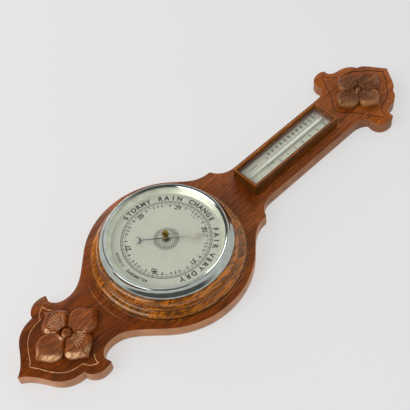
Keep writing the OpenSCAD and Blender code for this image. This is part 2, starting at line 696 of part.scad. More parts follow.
// The lever is riveted to the spring and carries the pin for the link at its end.
module main_lever() color(brass) {
    difference() {
        at_dial(spring_top) translate([lever_x - lever_w / 2, -16, 0])
            cube([lever_w, crank_y + 18.5, lever_t]);
        along_x(lever_x - lever_w, crank_y, lever_pin_d) cylinder(r = pin_r, h = 2 * lever_w, $fn = 24);
    }
    along_x(lever_x - lever_w / 2, crank_y, lever_pin_d)
        cylinder(r = pin_r, h = link_x + link_t - lever_x + lever_w / 2, $fn = 24);
}
module lever_link() color(steel) difference() {
    union() {
        for (d = [rocker_d, lever_pin_d]) along_x(link_x - link_t / 2, crank_y, d)
            cylinder(r = link_eye_r, h = link_t, $fn = 32);
        at_dial(rocker_d) translate([link_x - link_t / 2, crank_y - 0.8, 1])
            cube([link_t, 1.6, lever_pin_d - rocker_d - 2]);
    }
    along_x(link_x - link_t, crank_y, lever_pin_d) cylinder(r = pin_r + run_gap, h = 2 * link_t, $fn = 24);
    along_x(link_x - link_t, crank_y, rocker_d) cylinder(r = open_pivot_r, h = 2 * link_t, $fn = 24);
}
module rocking_shaft() color(steel) along_x(ear_left - ear_t, rocker_y, rocker_d)
    cylinder(r = shaft_r, h = ear_right - ear_left + 2 * ear_t, $fn = 32);
module crank_arm() color(brass) {
    difference() {
        union() {
            along_x(crank_x - arm_t / 2, rocker_y, rocker_d) cylinder(r = 1.9, h = arm_t, $fn = 32);
            along_x(crank_x - arm_t / 2, crank_y, rocker_d) cylinder(r = 1.3, h = arm_t, $fn = 32);
            at_dial(rocker_d) translate([crank_x - arm_t / 2, crank_y, -1.1])
                cube([arm_t, crank_len, 2.2]);
        }
        along_x(crank_x - arm_t, rocker_y, rocker_d)
            cylinder(r = shaft_r + fit_gap, h = 2 * arm_t, $fn = 32);
    }
    along_x(link_x - link_t, crank_y, rocker_d)
        cylinder(r = pin_r, h = crank_x - arm_t / 2 - link_x + link_t, $fn = 24);
}
module chain_arm() color(brass) difference() {
    union() {
        along_x(chain_r - arm_t / 2, rocker_y, rocker_d) cylinder(r = 2.4, h = arm_t, $fn = 32);
        along_x(chain_r - arm_t / 2, rocker_y, chain_d) cylinder(r = 1.6, h = arm_t, $fn = 32);
        at_dial(rocker_d) translate([chain_r - arm_t / 2, rocker_y - 1.2, 0])
            cube([arm_t, 2.4, chain_arm_len]);
    }
    along_x(chain_r - arm_t, rocker_y, rocker_d)
        cylinder(r = shaft_r + fit_gap, h = 2 * arm_t, $fn = 32);
    along_x(chain_r - arm_t, rocker_y, chain_d) cylinder(r = 0.5, h = 2 * arm_t, $fn = 24);
}
module rocker_bracket() color(brass) difference() {
    union() {
        at_dial(plate_top) translate([ear_left - 3, rocker_y - 5, 0])
            cube([ear_right - ear_left + 6, 10, foot_t]);
        for (x = [ear_left, ear_right]) {
            at_dial(plate_top) translate([x - ear_t / 2, rocker_y - 2.6, 0])
                cube([ear_t, 5.2, rocker_h]);
            along_x(x - ear_t / 2, rocker_y, rocker_d) cylinder(r = 2.6, h = ear_t, $fn = 32);
        }
    }
    along_x(ear_left - 5, rocker_y, rocker_d)
        cylinder(r = shaft_r + run_gap, h = ear_right - ear_left + 10, $fn = 32);
    at_dial(plate_top - 1) foot_screw_places() translate([0, 0, -foot_t])
        cylinder(r = small_r + fit_gap, h = foot_t + 2, $fn = 32);
}
// A fine chain from the pulley to the end of the chain arm.
module drive_chain() color(steel) {
    reach = rocker_y - 1.6 - fit_gap;
    count = floor(reach / chain_pitch);
    at_dial(chain_d) translate([chain_r - 0.15, 0, -0.25]) cube([0.3, reach, 0.5]);
    for (i = [1 : count - 1]) along_x(chain_r - 0.35, i * chain_pitch, chain_d)
        cylinder(r = 0.55, h = 0.7, $fn = 20);
}
module pointer_arbor() color(steel) at_dial() {
    translate([0, 0, cock_d - 0.8]) cylinder(r = arbor_r, h = arbor_top - cock_d + 0.8, $fn = 32);
    translate([0, 0, cock_d + cock_t + clear_gap]) cylinder(r = collar_r, h = 0.6, $fn = 32);
    translate([0, 0, bridge_bar_d - clear_gap - 0.6]) cylinder(r = collar_r, h = 0.6, $fn = 32);
    translate([0, 0, hairspring_d - 0.2]) cylinder(r = collar_r, h = hairspring_w + 0.4, $fn = 32);
}
module chain_pulley() color(brass) at_dial(chain_d - pulley_t / 2) rotate_extrude($fn = 32) polygon([
    [arbor_r + 0.02, 0], [chain_r + 0.8, 0], [chain_r + 0.8, 0.5], [pulley_r, 0.7],
    [pulley_r, pulley_t - 0.7], [chain_r + 0.8, pulley_t - 0.5], [chain_r + 0.8, pulley_t],
    [arbor_r + 0.02, pulley_t]]);
// A flat spiral from the collet on the arbor out to the leg of the cock.
function spiral(part, turns, inner, outer) = (inner + (outer - inner) * part)
    * [cos(180 + 360 * turns * part), sin(180 + 360 * turns * part)];
module hairspring() color(blued) {
    steps = hairspring_turns * 24;
    half = hairspring_t / 2;
    inner = collar_r + 0.1 + half;
    outer = -cock_leg_x - cock_t / 2 - fit_gap - half;
    at_dial(hairspring_d) linear_extrude(hairspring_w) polygon(concat(
        [for (i = [0 : steps]) spiral(i / steps, hairspring_turns, inner - half, outer - half)],
        [for (i = [steps : -1 : 0]) spiral(i / steps, hairspring_turns, inner + half, outer + half)]));
}
module arbor_bridge() color(brass) at_dial(bridge_bar_d) linear_extrude(bridge_bar_t) difference() {
    union() {
        square([2 * arbor_pillar_x, bridge_bar_w], center = true);
        for (side = [-1, 1]) translate([side * arbor_pillar_x, 0]) circle(d = bridge_bar_w);
    }
    circle(r = arbor_r + run_gap, $fn = 32);
    for (side = [-1, 1]) translate([side * arbor_pillar_x, 0]) circle(r = small_r + fit_gap, $fn = 32);
    translate([cock_screw_x, 0]) circle(r = cock_screw_r + fit_gap, $fn = 32);
}
module arbor_pillars() color(brass) at_dial(plate_top) for (side = [-1, 1])
    translate([side * arbor_pillar_x, 0, 0]) difference() {
        cylinder(r = arbor_pillar_r, h = bridge_bar_d - plate_top, $fn = 32);
        translate([0, 0, bridge_bar_d - plate_top - 6]) cylinder(r = small_r + fit_gap, h = 7, $fn = 32);
    }
module arbor_bridge_screws() color(steel) at_dial(bridge_bar_d + bridge_bar_t) for (side = [-1, 1])
    translate([side * arbor_pillar_x, 0, 0]) small_screw(bridge_bar_t + 5);
module lower_cock() color(brass) at_dial() difference() {
    union() {
        translate([cock_screw_x - 3.5, -3, bridge_bar_d - cock_t])
            cube([cock_leg_x - cock_screw_x + 3.5, 6, cock_t]);
        translate([cock_leg_x - cock_t / 2, -3, cock_d]) cube([cock_t, 6, bridge_bar_d - cock_d]);
        translate([cock_leg_x, -3, cock_d]) cube([3 - cock_leg_x, 6, cock_t]);
    }
    translate([0, 0, cock_d - 1]) cylinder(r = arbor_r + run_gap, h = cock_t + 2, $fn = 32);
    translate([cock_screw_x, 0, bridge_bar_d - cock_t - 1])
        cylinder(r = cock_screw_r + fit_gap, h = cock_t + 2, $fn = 32);
}
module cock_screw() color(steel) at_dial(bridge_bar_d + bridge_bar_t) translate([cock_screw_x, 0, 0])
    machine_screw(cock_screw_r, bridge_bar_t + cock_t, 1.6, 1.1);
module adjusting_screw() color(brass) at_dial(case_back - 0.2) translate([0, bridge_y, 0])
    from_behind() machine_screw(adjust_r, plate_top - case_back - 0.1, adjust_head_r, 1.6);

/* Hands and set knob */

module pressure_hand() color(blued) at_dial() rotate(-pressure_angle) {
    translate([0, 0, hand_back]) linear_extrude(hand_t) difference() {
        union() {
            circle(r = 3, $fn = 32);
            polygon([[-1, 0], [1, 0], [0.25, hand_len], [-0.25, hand_len]]);
            polygon([[-0.8, 0], [0.8, 0], [0.5, crescent_r - crescent_at - 1],
                [-0.5, crescent_r - crescent_at - 1]]);
            difference() {
                translate([0, -crescent_at]) circle(r = crescent_r);
                translate([0, -crescent_at - 0.32 * crescent_r]) circle(r = 0.93 * crescent_r);
            }
        }
        circle(r = arbor_r + 0.02, $fn = 32);
    }
    translate([0, 0, dial_front + 1]) difference() {
        cylinder(r = 2.2, h = hand_back - dial_front - 1, $fn = 32);
        translate([0, 0, -1]) cylinder(r = arbor_r + 0.02, h = 5, $fn = 32);
    }
}
module set_hand() color(brass) at_dial(set_hand_back) rotate(-set_angle) linear_extrude(hand_t) {
    spade = set_hand_len - 23;
    half = concat([[1.6, -13], [0.9, 0], [0.7, spade - 2]],
        curve([0.7, spade - 2], [2.5, spade + 1], [5.6, spade], [5, spade + 4.5], 6),
        curve([5, spade + 4.5], [4.6, spade + 9], [1.2, spade + 11], [0.6, spade + 15], 6),
        [[0.25, set_hand_len]]);
    difference() {
        union() {
            circle(r = 4, $fn = 32);
            polygon(concat(half, back_to_front(mirrored(half))));
        }
        circle(r = spindle_r + 0.02, $fn = 32);
    }
}
module set_washer() color(brass) at_dial(set_hand_front) difference() {
    cylinder(r = 4.6, h = washer_t, $fn = 32);
    translate([0, 0, -1]) cylinder(r = spindle_r + 0.02, h = washer_t + 2, $fn = 32);
}
module set_nut() color(brass) at_dial(set_hand_back - set_nut_t) difference() {
    cylinder(r = 3.7, h = set_nut_t, $fn = 6);
    translate([0, 0, -1]) cylinder(r = spindle_r + 0.02, h = set_nut_t + 2, $fn = 32);
}
module set_spindle() color(brass) at_dial(set_hand_back - set_nut_t)
    cylinder(r = spindle_r, h = knob_foot - set_hand_back + set_nut_t, $fn = 32);
// A turned knob: foot, waist and a domed, knurled head.
module set_knob() color(brass) at_dial(knob_foot) difference() {
    rotate_extrude() polygon(concat(
        [[0, 0], [0.8 * knob_r, 0], [0.8 * knob_r, 0.12 * knob_h], [0.56 * knob_r, 0.2 * knob_h],
            [0.56 * knob_r, 0.3 * knob_h], [0.95 * knob_r, 0.38 * knob_h], [knob_r, 0.42 * knob_h],
            [knob_r, 0.78 * knob_h]],
        curve([knob_r, 0.78 * knob_h], [0.98 * knob_r, 0.9 * knob_h], [0.6 * knob_r, knob_h],
            [0, knob_h], 6)));
    for (i = [0 : knurls - 1]) rotate(i * 360 / knurls) translate([knob_r + 0.25, 0, 0.36 * knob_h])
        cylinder(r = 0.5, h = knob_h, $fn = 16);
}

/* Thermometer */

// A rail with a sloping rim and a rebate for the glass, mitred at both ends.
module rail(length) {
    profile = [[0, 0], [0, box_h - 0.8], [0.8, box_h], [1.8, box_h], [rim_w, box_h - rim_drop],
        [rim_w, box_h - rim_drop - 1], [rail_t, box_h - rim_drop - 1], [rail_t, 0]];
    intersection() {
        rotate([90, 0, 90]) linear_extrude(length) polygon(profile);
        linear_extrude(box_h) polygon([[0, 0], [length, 0], [length - rim_w, rim_w], [rim_w, rim_w]]);
    }
}
module rail_with_holes() color(box_oak) difference() {
    children();
    at_dial() box_screw_places() from_behind()
        wood_screw_hole(box_screw_r, box_screw_len, box_screw_head);
}
module box_rail_left() rail_with_holes() at_dial(board_t) translate([-box_w / 2, box_top, 0])
    rotate(-90) rail(box_len);
module box_rail_right() rail_with_holes() at_dial(board_t) translate([box_w / 2, box_rise, 0])
    rotate(90) rail(box_len);
module box_rail_top() color(box_oak) at_dial(board_t) translate([box_w / 2, box_top, 0])
    rotate(180) rail(box_w);
module box_rail_bottom() color(box_oak) at_dial(board_t) translate([-box_w / 2, box_rise, 0])
    rail(box_w);
module box_screws() color(brass) at_dial() box_screw_places() from_behind()
    wood_screw(box_screw_r, box_screw_len, box_screw_head);
// A plate that lies inside the box, inset from the rails.
module inset_plate(inset, t) translate([-box_w / 2 + rail_t + inset, box_rise + rail_t + inset, 0])
    cube([box_w - 2 * (rail_t + inset), box_len - 2 * (rail_t + inset), t]);
module box_glass() color(clear_glass) at_dial(box_glass_back)
    inset_plate(0.2, box_glass_t);
module scale_screw_places() for (x = [-scale_screw_x, scale_screw_x], y = scale_screws_y)
    translate([x, y, 0]) children();
module scale_backing() color(oak) at_dial(board_t) difference() {
    inset_plate(1.5, backing_t);
    translate([0, 0, backing_t + scale_t]) scale_screw_places()
        wood_screw_hole(scale_screw_r, backing_t, scale_screw_r + 0.01);
}
module scale_plate() color(silvered) at_dial(scale_back) difference() {
    inset_plate(0.5, scale_t);
    translate([0, 0, scale_t]) scale_screw_places()
        wood_screw_hole(scale_screw_r, backing_t, scale_screw_r + 0.01);
}
module scale_screws() color(brass) at_dial(scale_front) scale_screw_places()
    machine_screw(scale_screw_r, backing_t - 1, 2 * scale_screw_r, scale_screw_r);
module up_the_tube(y) at_dial(tube_d) translate([0, y, 0]) rotate([-90, 0, 0]) children();
module thermometer_tube() color(clear_glass) difference() {
    union() {
        up_the_tube(tube_y) cylinder(r = tube_r, h = tube_len - tube_r, $fn = 32);
        up_the_tube(tube_end - tube_r) sphere(r = tube_r, $fn = 32);
        up_the_tube(bulb_y + bulb_r) cylinder(r = bulb_r, h = bulb_len - bulb_r, $fn = 32);
        up_the_tube(bulb_y + bulb_r) sphere(r = bulb_r, $fn = 32);
    }
    up_the_tube(bulb_y + bulb_r) cylinder(r = column_r + 0.02, h = bulb_len + tube_len - 8, $fn = 24);
}
module spirit_column() color([0.70, 0.12, 0.10]) up_the_tube(bulb_y + bulb_r)
    cylinder(r = column_r, h = bulb_len + tube_len * 0.48, $fn = 24);
module tube_clips() color(brass) for (y = clips_y) difference() {
    union() {
        up_the_tube(y) cylinder(r = tube_r + fit_gap + clip_t, h = clip_w, $fn = 32);
        at_dial(scale_front) translate([-tube_r - 3, y, 0]) cube([2 * tube_r + 6, clip_w, clip_t]);
    }
    up_the_tube(y - 1) cylinder(r = tube_r + fit_gap, h = clip_w + 2, $fn = 32);
}

/* Hanging plate */

module hanging_outline(grow = 0) translate([0, 5]) {
    square([hang_w + 2 * grow, hang_len - hang_w], center = true);
    for (side = [-1, 1]) translate([0, side * (hang_len - hang_w) / 2]) circle(r = hang_w / 2 + grow);
}
module hanging_screw_places() front() for (side = [-1, 1])
    translate([0, 5 + side * (hang_len / 2 - 6), 0]) children();
module hanging_plate() color(brass) difference() {
    front() linear_extrude(hang_t) difference() {
        hanging_outline();
        circle(r = key_r);
        translate([-slot_w / 2, 0]) square([slot_w, slot_len]);
        translate([0, slot_len]) circle(d = slot_w);
    }
    hanging_screw_places() from_behind() wood_screw_hole(1.5, 14, 3.2);
}
module hanging_screws() color(brass) hanging_screw_places() from_behind() wood_screw(1.5, 14, 3.2);

back_board();
lower_carving();
upper_carving();
bezel_surround();
surround_screws();
metal_bezel();
dial_glass();
reflector_ring();
dial_plate();
pressure_hand();
set_hand();
set_knob();
set_spindle();
set_washer();
set_nut();
instrument_case();
case_screws();
movement_plate();
movement_screws();
vacuum_capsule();
capsule_post();
knife_pin();
spring_bridge();
foot_screws();
clamp_plate();
clamp_screws();
main_spring();
main_lever();
lever_link();
rocking_shaft();
crank_arm();
chain_arm();
rocker_bracket();
drive_chain();
pointer_arbor();
chain_pulley();
hairspring();
arbor_bridge();
arbor_pillars();
arbor_bridge_screws();
lower_cock();
cock_screw();
dial_pillars();
pillar_screws();
adjusting_screw();
box_rail_left();
box_rail_right();
box_rail_top();
box_rail_bottom();
box_screws();
box_glass();
scale_backing();
scale_plate();
scale_screws();
thermometer_tube();
spirit_column();
tube_clips();
hanging_plate();
hanging_screws();
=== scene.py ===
"""The looks of an oak wall barometer of the banjo pattern: a scrolled and carved back board, a
turned ring with a chromed bezel round the aneroid, and a boxed thermometer on the neck above it."""
import math

import bmesh
import bpy
import numpy as np
from mathutils import Matrix, Vector


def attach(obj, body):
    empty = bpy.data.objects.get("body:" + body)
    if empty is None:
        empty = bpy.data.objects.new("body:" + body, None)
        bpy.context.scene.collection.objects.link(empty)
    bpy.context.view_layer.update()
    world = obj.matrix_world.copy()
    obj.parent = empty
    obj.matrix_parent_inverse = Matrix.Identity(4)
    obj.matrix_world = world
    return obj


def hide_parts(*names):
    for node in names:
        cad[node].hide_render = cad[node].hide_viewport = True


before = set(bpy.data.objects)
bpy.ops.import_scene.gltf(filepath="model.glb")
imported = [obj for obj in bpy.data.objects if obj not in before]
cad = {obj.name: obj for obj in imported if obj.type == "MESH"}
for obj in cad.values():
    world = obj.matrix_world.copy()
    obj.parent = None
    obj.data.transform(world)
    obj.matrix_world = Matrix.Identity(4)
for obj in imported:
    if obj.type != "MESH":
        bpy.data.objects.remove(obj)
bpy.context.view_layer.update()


# The back board is one plank of quarter-sawn oak, fretted to a scrolled outline, with its front
# arris softened by hand, gouged lines drawn in along both ends, and a round bore for the
# instrument. It is stained red brown and varnished; the sawn edges took less stain. Its front has
# painted shade at the foot and a painted sheen towards the crest, and its edges painted shade
# towards the crest.

dial_drop = 0.45  # metres from the hanging hole down to the dial's centre


def at_dial(across, up, out):
    """A point measured in millimetres from the dial's centre, and out from the wall."""
    return across / 1000, -out / 1000, up / 1000 - dial_drop


def curve(a, b, c, d, steps):
    """The points of a drawn curve from a to d, without its first one."""
    a, b, c, d = (np.array(p, float) for p in (a, b, c, d))
    t = np.linspace(0, 1, steps + 1)[1:, None]
    s = 1 - t
    return s ** 3 * a + 3 * s * s * t * b + 3 * s * t * t * c + t ** 3 * d


def draw_line(start, *moves):
    """A line from its start by straights, each given by its end, and by curves, each given by its
    two guides, its end and its number of steps."""
    rows = [start]
    for move in moves:
        rows += [move] if len(move) == 2 else list(curve(rows[-1], *move))
    return rows


def in_scene(name, data):
    """Puts a mesh, letters, a lamp or a camera in the scene under its own name."""
    made = bpy.data.objects.new(name, data)
    bpy.context.scene.collection.objects.link(made)
    return made


def piece(name, points, faces, finish, body="case", replaces=(), smooth=35):
    """A finished piece from its points and faces, on the body that it moves with."""
    mesh = bpy.data.meshes.new(name)
    mesh.from_pydata([tuple(p) for p in points], [], faces)
    if finish:
        mesh.materials.append(finish)
    return settle(in_scene(name, mesh), body, replaces, smooth)


def settle(made, body="case", replaces=(), smooth=35):
    """Smooths a piece up to an angle between its faces, and tells the frame what it is."""
    if smooth:
        made.data.shade_smooth()
        made.data.set_sharp_from_angle(angle=math.radians(smooth))
    if body:
        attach(made, body)
    if replaces:
        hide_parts(*replaces)
    return made


def feed(tree, node, inputs):
    """Sets a node's inputs to values, or joins them to other nodes."""
    for key, value in inputs.items():
        if isinstance(value, bpy.types.NodeSocket):
            tree.links.new(value, node.inputs[key])
        else:
            node.inputs[key].default_value = value


def add(tree, kind, inputs=None, **settings):
    """A new node with its settings and its inputs."""
    made = tree.nodes.new(kind)
    for key, value in settings.items():
        setattr(made, key, value)
    feed(tree, made, inputs or {})
    return made


def new_finish(name):
    """A new material, with its tree of nodes and its main surface."""
    made = bpy.data.materials.new(name)
    made.use_nodes = True
    return made, made.node_tree, made.node_tree.nodes["Principled BSDF"]


def on_object(tree):
    """Places measured on the piece itself, so that a pattern stays with it."""
    return add(tree, "ShaderNodeTexCoord").outputs["Object"]


def noise(tree, place, scale, detail=2.0, rough=0.5):
    return add(tree, "ShaderNodeTexNoise", {"Vector": place, "Scale": scale, "Detail": detail,
                                            "Roughness": rough}).outputs["Fac"]


def reckon(tree, operation, *values):
    """One step of arithmetic between values or other nodes."""
    return add(tree, "ShaderNodeMath", dict(enumerate(values)), operation=operation).outputs[0]


def stretch(tree, value, low, high, new_low=0.0, new_high=1.0):
    """Carries the range from low to high over to a new one."""
    return add(tree, "ShaderNodeMapRange", {"Value": value, "From Min": low, "From Max": high,
               "To Min": new_low, "To Max": new_high}).outputs[0]


def ramp(tree, value, stops):
    """A colour or grey that changes with a value, by steps of place and colour."""
    made = add(tree, "ShaderNodeValToRGB", {"Fac": value})
    for i, (place, colour) in enumerate(stops):
        stop = made.color_ramp.elements[i] if i < 2 else made.color_ramp.elements.new(place)
        stop.position = place
        stop.color = colour if hasattr(colour, "__len__") else (colour, colour, colour, 1)
    return made.outputs["Color"]


def mix(tree, share, first, second, how="MIX"):
    """Two colours mixed by a share, each a colour or a node."""
    share_in, first_in, second_in, colour_out = 0, 6, 7, 2
    return add(tree, "ShaderNodeMix", {share_in: share, first_in: first, second_in: second},
               data_type="RGBA", blend_type=how).outputs[colour_out]


def rgb(red, green, blue):
    """A colour as it is seen on a screen, from 0 to 255, turned into the light that it gives."""
    return *((c / 255 / 12.92 if c <= 10 else ((c / 255 + 0.055) / 1.055) ** 2.4)
             for c in (red, green, blue)), 1


def oak(name, light, dark, pore, edge=None, along="Z", roughness=0.42, coat=0.08, fine=1.0,
        rubbed=None):
    """Stained and varnished oak. Its grain runs along one axis, with pores that hold the stain."""
    made, tree, surface = new_finish(name)
    place = on_object(tree)
    turn = {"Z": (0, 0, 0), "X": (0, math.pi / 2, 0)}[along]
    plank = add(tree, "ShaderNodeMapping", {"Vector": place, "Rotation": turn}).outputs[0]
    wander = add(tree, "ShaderNodeTexNoise", {"Vector": plank, "Scale": 7.0, "Detail": 2.0})
    bent = add(tree, "ShaderNodeVectorMath", {0: wander.outputs["Color"], 1: (0.007, 0.007, 0)},
               operation="MULTIPLY")
    bent = add(tree, "ShaderNodeVectorMath", {0: plank, 1: bent.outputs[0]}, operation="ADD")

    def streaks(across, length, detail, rough=0.6):
        scaled = add(tree, "ShaderNodeMapping", {"Vector": bent.outputs[0],
                                                 "Scale": (across, across, length)})
        return noise(tree, scaled.outputs[0], 1.0, detail, rough)

    broad = ramp(tree, streaks(40, 2.4, 3), [(0.36, 0), (0.64, 1)])
    colour = mix(tree, broad, dark, light)
    rays = ramp(tree, streaks(330 * fine, 17, 4, 0.65), [(0.35, 0.58), (0.5, 0.96), (0.65, 1.32)])
    colour = mix(tree, 1.0, colour, rays, "MULTIPLY")
    pores = ramp(tree, streaks(1050 * fine, 52, 2, 0.5), [(0.5, 1), (0.6, 0)])
    holding = mix(tree, 0.75, colour, pore)
    colour = mix(tree, pores, holding, colour)
    cell = add(tree, "ShaderNodeTexVoronoi", {"Vector": place, "Scale": 55.0})
    chips = ramp(tree, cell.outputs["Distance"], [(0.03, 0.8), (0.05, 0)])
    colour = mix(tree, chips, colour, rgb(236, 196, 150))
    if edge:
        normal = add(tree, "ShaderNodeSeparateXYZ",
                     {0: add(tree, "ShaderNodeNewGeometry").outputs["Normal"]})
        front = ramp(tree, reckon(tree, "ABSOLUTE", normal.outputs["Y"]), [(0.45, 0), (0.8, 1)])
        height = add(tree, "ShaderNodeSeparateXYZ", {0: place}).outputs["Z"]
        # The sawn edges are painted darker towards the crest, as painted shade.
        sawn = mix(tree, stretch(tree, height, -0.42, 0.02), edge[0], edge[1])
        # The front is painted darker at the foot and lighter towards the crest: painted shade
        # below, painted sheen above.
        painted_light_by_height = ramp(tree, stretch(tree, height, -0.7, 0.02),
                     [(0.05, 0.74), (0.25, 1.0), (0.45, (1.04, 1.1, 1.06, 1)),
                      (0.9, (1.42, 1.62, 1.5, 1))])
        colour = mix(tree, 1.0, colour, painted_light_by_height, "MULTIPLY")
        cloudy = ramp(tree, noise(tree, place, 42.0, 5.0), [(0.3, 0.72), (0.66, 1.1)])
        sawn = mix(tree, 1.0, sawn, cloudy, "MULTIPLY")
        colour = mix(tree, front, sawn, colour)
    # The carving's two attributes: one darkens towards the pore colour as painted shade, the other
    # lightens towards the rubbed colour as wear and painted highlight.
    if rubbed:
        for attribute, tint in (("painted_shade", pore), ("worn", rubbed)):
            amount = add(tree, "ShaderNodeAttribute", attribute_name=attribute).outputs["Fac"]
            patchy = ramp(tree, streaks(300, 130, 4), [(0.36, 0.2), (0.56, 1)])
            amount = mix(tree, 1.0, amount, patchy, "MULTIPLY")
            colour = mix(tree, amount, colour, tint)
    gloss = stretch(tree, broad, 0, 1, roughness + 0.08, roughness - 0.06)
    height = mix(tree, 0.35, pores, rays)
    bump = add(tree, "ShaderNodeBump", {"Height": height, "Strength": 0.14, "Distance": 0.0003})
    feed(tree, surface, {
        "Base Color": colour, "Roughness": gloss, "Normal": bump.outputs[0], "Coat Weight": coat,
        "Coat Roughness": 0.18, "Specular IOR Level": 0.3, "Specular Tint": (1.0, 0.76, 0.5, 1)})
    return made


def mirrored(points):
    """The same line on the left half of the case."""
    return [(-x, y) for x, y in points]


def block_faces(n, levels=2):
    """The faces of a block through like outlines of n points: its sides and its two ends."""
    sides = [(k * n + i, k * n + (i + 1) % n, (k + 1) * n + (i + 1) % n, (k + 1) * n + i)
             for k in range(levels - 1) for i in range(n)]
    return sides + [tuple(reversed(range(n))), tuple(range((levels - 1) * n, levels * n))]


foot_tip, crest_tip, disc_radius, leaves_disc = -292.5, 524.8, 133.5, math.radians(44)
leave = np.array([disc_radius * math.cos(leaves_disc), disc_radius * math.sin(leaves_disc)])
along_disc = np.array([-math.sin(leaves_disc), math.cos(leaves_disc)])
cusp, neck = np.array([63.6, 150.4]), 41.5
foot = draw_line(
    (0, 0), ((7, 11.5), (17, 18.5), (33.9, 28.4), 18), ((50, 37), (60.5, 49.5), (62, 72.5), 24),
    ((74, 75), (81.5, 87.5), (80.2, 98.2), 20), ((80, 104.5), (79, 107.5), (77, 110.5), 8),
    (66.4, 107.3), ((55, 111.5), (50.8, 120.5), (50.8, 132.4), 18),
    ((50.8, 156.2), leave * (1, -1) - (29.2, 30.2 + foot_tip), leave * (1, -1) - (0, foot_tip), 24))
round_part = [(disc_radius * math.cos(a), disc_radius * math.sin(a))
              for a in np.linspace(-leaves_disc, leaves_disc, 97)[1:]]
shoulder = draw_line(
    leave, (leave + 26 * along_disc, cusp + (0.9, -26.4), cusp + (0.8, -3), 24), cusp,
    (cusp + (-13.6, 6), (neck, 168), (neck, 185), 20))[1:]
crest = draw_line(
    (neck, -139.8), ((neck, -127.8), (45, -117.8), (52.5, -111.8), 14),
    ((62, -115.3), (81, -114.8), (81.1, -90.1), 24), ((81.1, -84.8), (79, -81.3), (76.7, -78.8), 8),
    ((66, -80.8), (61, -73.8), (59.5, -61.8), 16), ((58.5, -47.8), (49, -35.8), (39.7, -34.1), 20),
    ((38, -21.8), (24, -16.8), (0, 0), 24))
right_side = ([(x, y + foot_tip) for x, y in foot] + round_part + shoulder
              + [(x, y + crest_tip) for x, y in crest])
outline = np.array(right_side + mirrored(right_side[1:-1])[::-1], float)
before, after = outline - np.roll(outline, 1, 0), np.roll(outline, -1, 0) - outline
inward = sum(np.stack([-d[:, 1], d[:, 0]], 1) / np.linalg.norm(d, axis=1)[:, None]
             for d in (before, after))
inward /= np.maximum(np.linalg.norm(inward, axis=1), 0.9)[:, None]
board_front, arris = 21.0, 0.7
levels = [(0, 0), (0, board_front - arris), (arris * 0.3, board_front - arris * 0.3),
          (arris, board_front)]
points = [at_dial(x, y, out) for inset, out in levels for x, y in outline + inward * inset]
# The edge colours are for the foot and for the crest; the darker crest colour is painted shade.
board_oak = oak("stained oak board", rgb(154, 73, 16), rgb(116, 50, 8), rgb(46, 17, 2),
                edge=(rgb(192, 136, 98), rgb(146, 92, 60)), roughness=0.34, coat=0.04, fine=1.4)
board = piece("oak_back_board", points, block_faces(len(outline), len(levels)), board_oak, None,
              smooth=None)


def new_tree(name, *sizes):
    """A tree of nodes with a plan to follow, named inputs for its sizes, and a finish."""
    tree = bpy.data.node_groups.new(name, "GeometryNodeTree")
    tree.is_modifier = True
    for label, kind in (("Plan", "Geometry"), *sizes, ("Finish", "Material")):
        tree.interface.new_socket(label, in_out="INPUT", socket_type="NodeSocket" + kind)
    tree.interface.new_socket("Made", in_out="OUTPUT", socket_type="NodeSocketGeometry")
    return tree, add(tree, "NodeGroupInput").outputs


def end_tree(tree, given, shape):
    """Ends a tree with plain faces that carry the finish."""
    whole = add(tree, "GeometryNodeRealizeInstances", {0: shape.outputs[0]})
    finished = add(tree, "GeometryNodeSetMaterial", {"Geometry": whole.outputs[0],
                                                     "Material": given["Finish"]})
    add(tree, "NodeGroupOutput", {0: finished.outputs[0]})


# Every groove is the same gouge drawn along a line, so one tree of nodes follows all the lines.
gouge, given = new_tree("Gouge along a line", ("Gouge Radius", "Float"))
line = add(gouge, "GeometryNodeMeshToCurve", {0: given["Plan"]})
section = add(gouge, "GeometryNodeCurvePrimitiveCircle", {"Resolution": 8,
                                                          "Radius": given["Gouge Radius"]})
end_tree(gouge, given, add(gouge, "GeometryNodeCurveToMesh", {
    "Curve": line.outputs[0], "Profile Curve": section.outputs[0], "Fill Caps": True}))


def plain_mesh(made):
    """The mesh that a piece has once its modifiers, or its letters, are worked out."""
    bpy.context.view_layer.update()
    return bpy.data.meshes.new_from_object(
        made.evaluated_get(bpy.context.evaluated_depsgraph_get()))


def run_tree(made, tree, values):
    """Sets a tree's named inputs on a piece, runs it, and keeps the plain mesh that it gives."""
    modifier = made.modifiers.new("tree", "NODES")
    modifier.node_group = tree
    for item in tree.interface.items_tree:
        if item.in_out == "INPUT" and item.name in values:
            modifier[item.identifier] = values[item.name]
    result = plain_mesh(made)
    made.modifiers.clear()
    made.data = result
    return made


def wire(name, lines):
    """A mesh of bare lines, each a list of points, for a tree of nodes to follow."""
    mesh, points, edges = bpy.data.meshes.new(name), [], []
    for row in lines:
        edges += [(len(points) + i, len(points) + i + 1) for i in range(len(row) - 1)]
        points += [tuple(p) for p in row]
    mesh.from_pydata(points, edges, [])
    return in_scene(name, mesh)


def cut_from(made, cutters):
    """Cuts shapes out of a piece. The cut faces keep the cutter's finish."""
    for cutter in cutters:
        modifier = made.modifiers.new("cut", "BOOLEAN")
        modifier.operation, modifier.solver, modifier.object = "DIFFERENCE", "EXACT", cutter
        modifier.use_self = True
        modifier.material_mode = "TRANSFER"
    result = plain_mesh(made)
    made.modifiers.clear()
    made.data = result
    for cutter in cutters:
        bpy.data.objects.remove(cutter)


def stroke(*marks):
    """A gouged line that passes smoothly through its marks, in millimetres from the dial."""
    marks = np.array(marks, float)
    padded = np.vstack([2 * marks[0] - marks[1], marks, 2 * marks[-1] - marks[-2]])
    rows = [marks[0]]
    for i in range(1, len(marks)):
        p0, p1, p2, p3 = padded[i - 1:i + 3]
        rows += list(curve(p1, p1 + (p2 - p0) / 6, p2 - (p3 - p1) / 6, p2, 6))
    return [at_dial(x, y, board_front + 0.2) for x, y in rows]


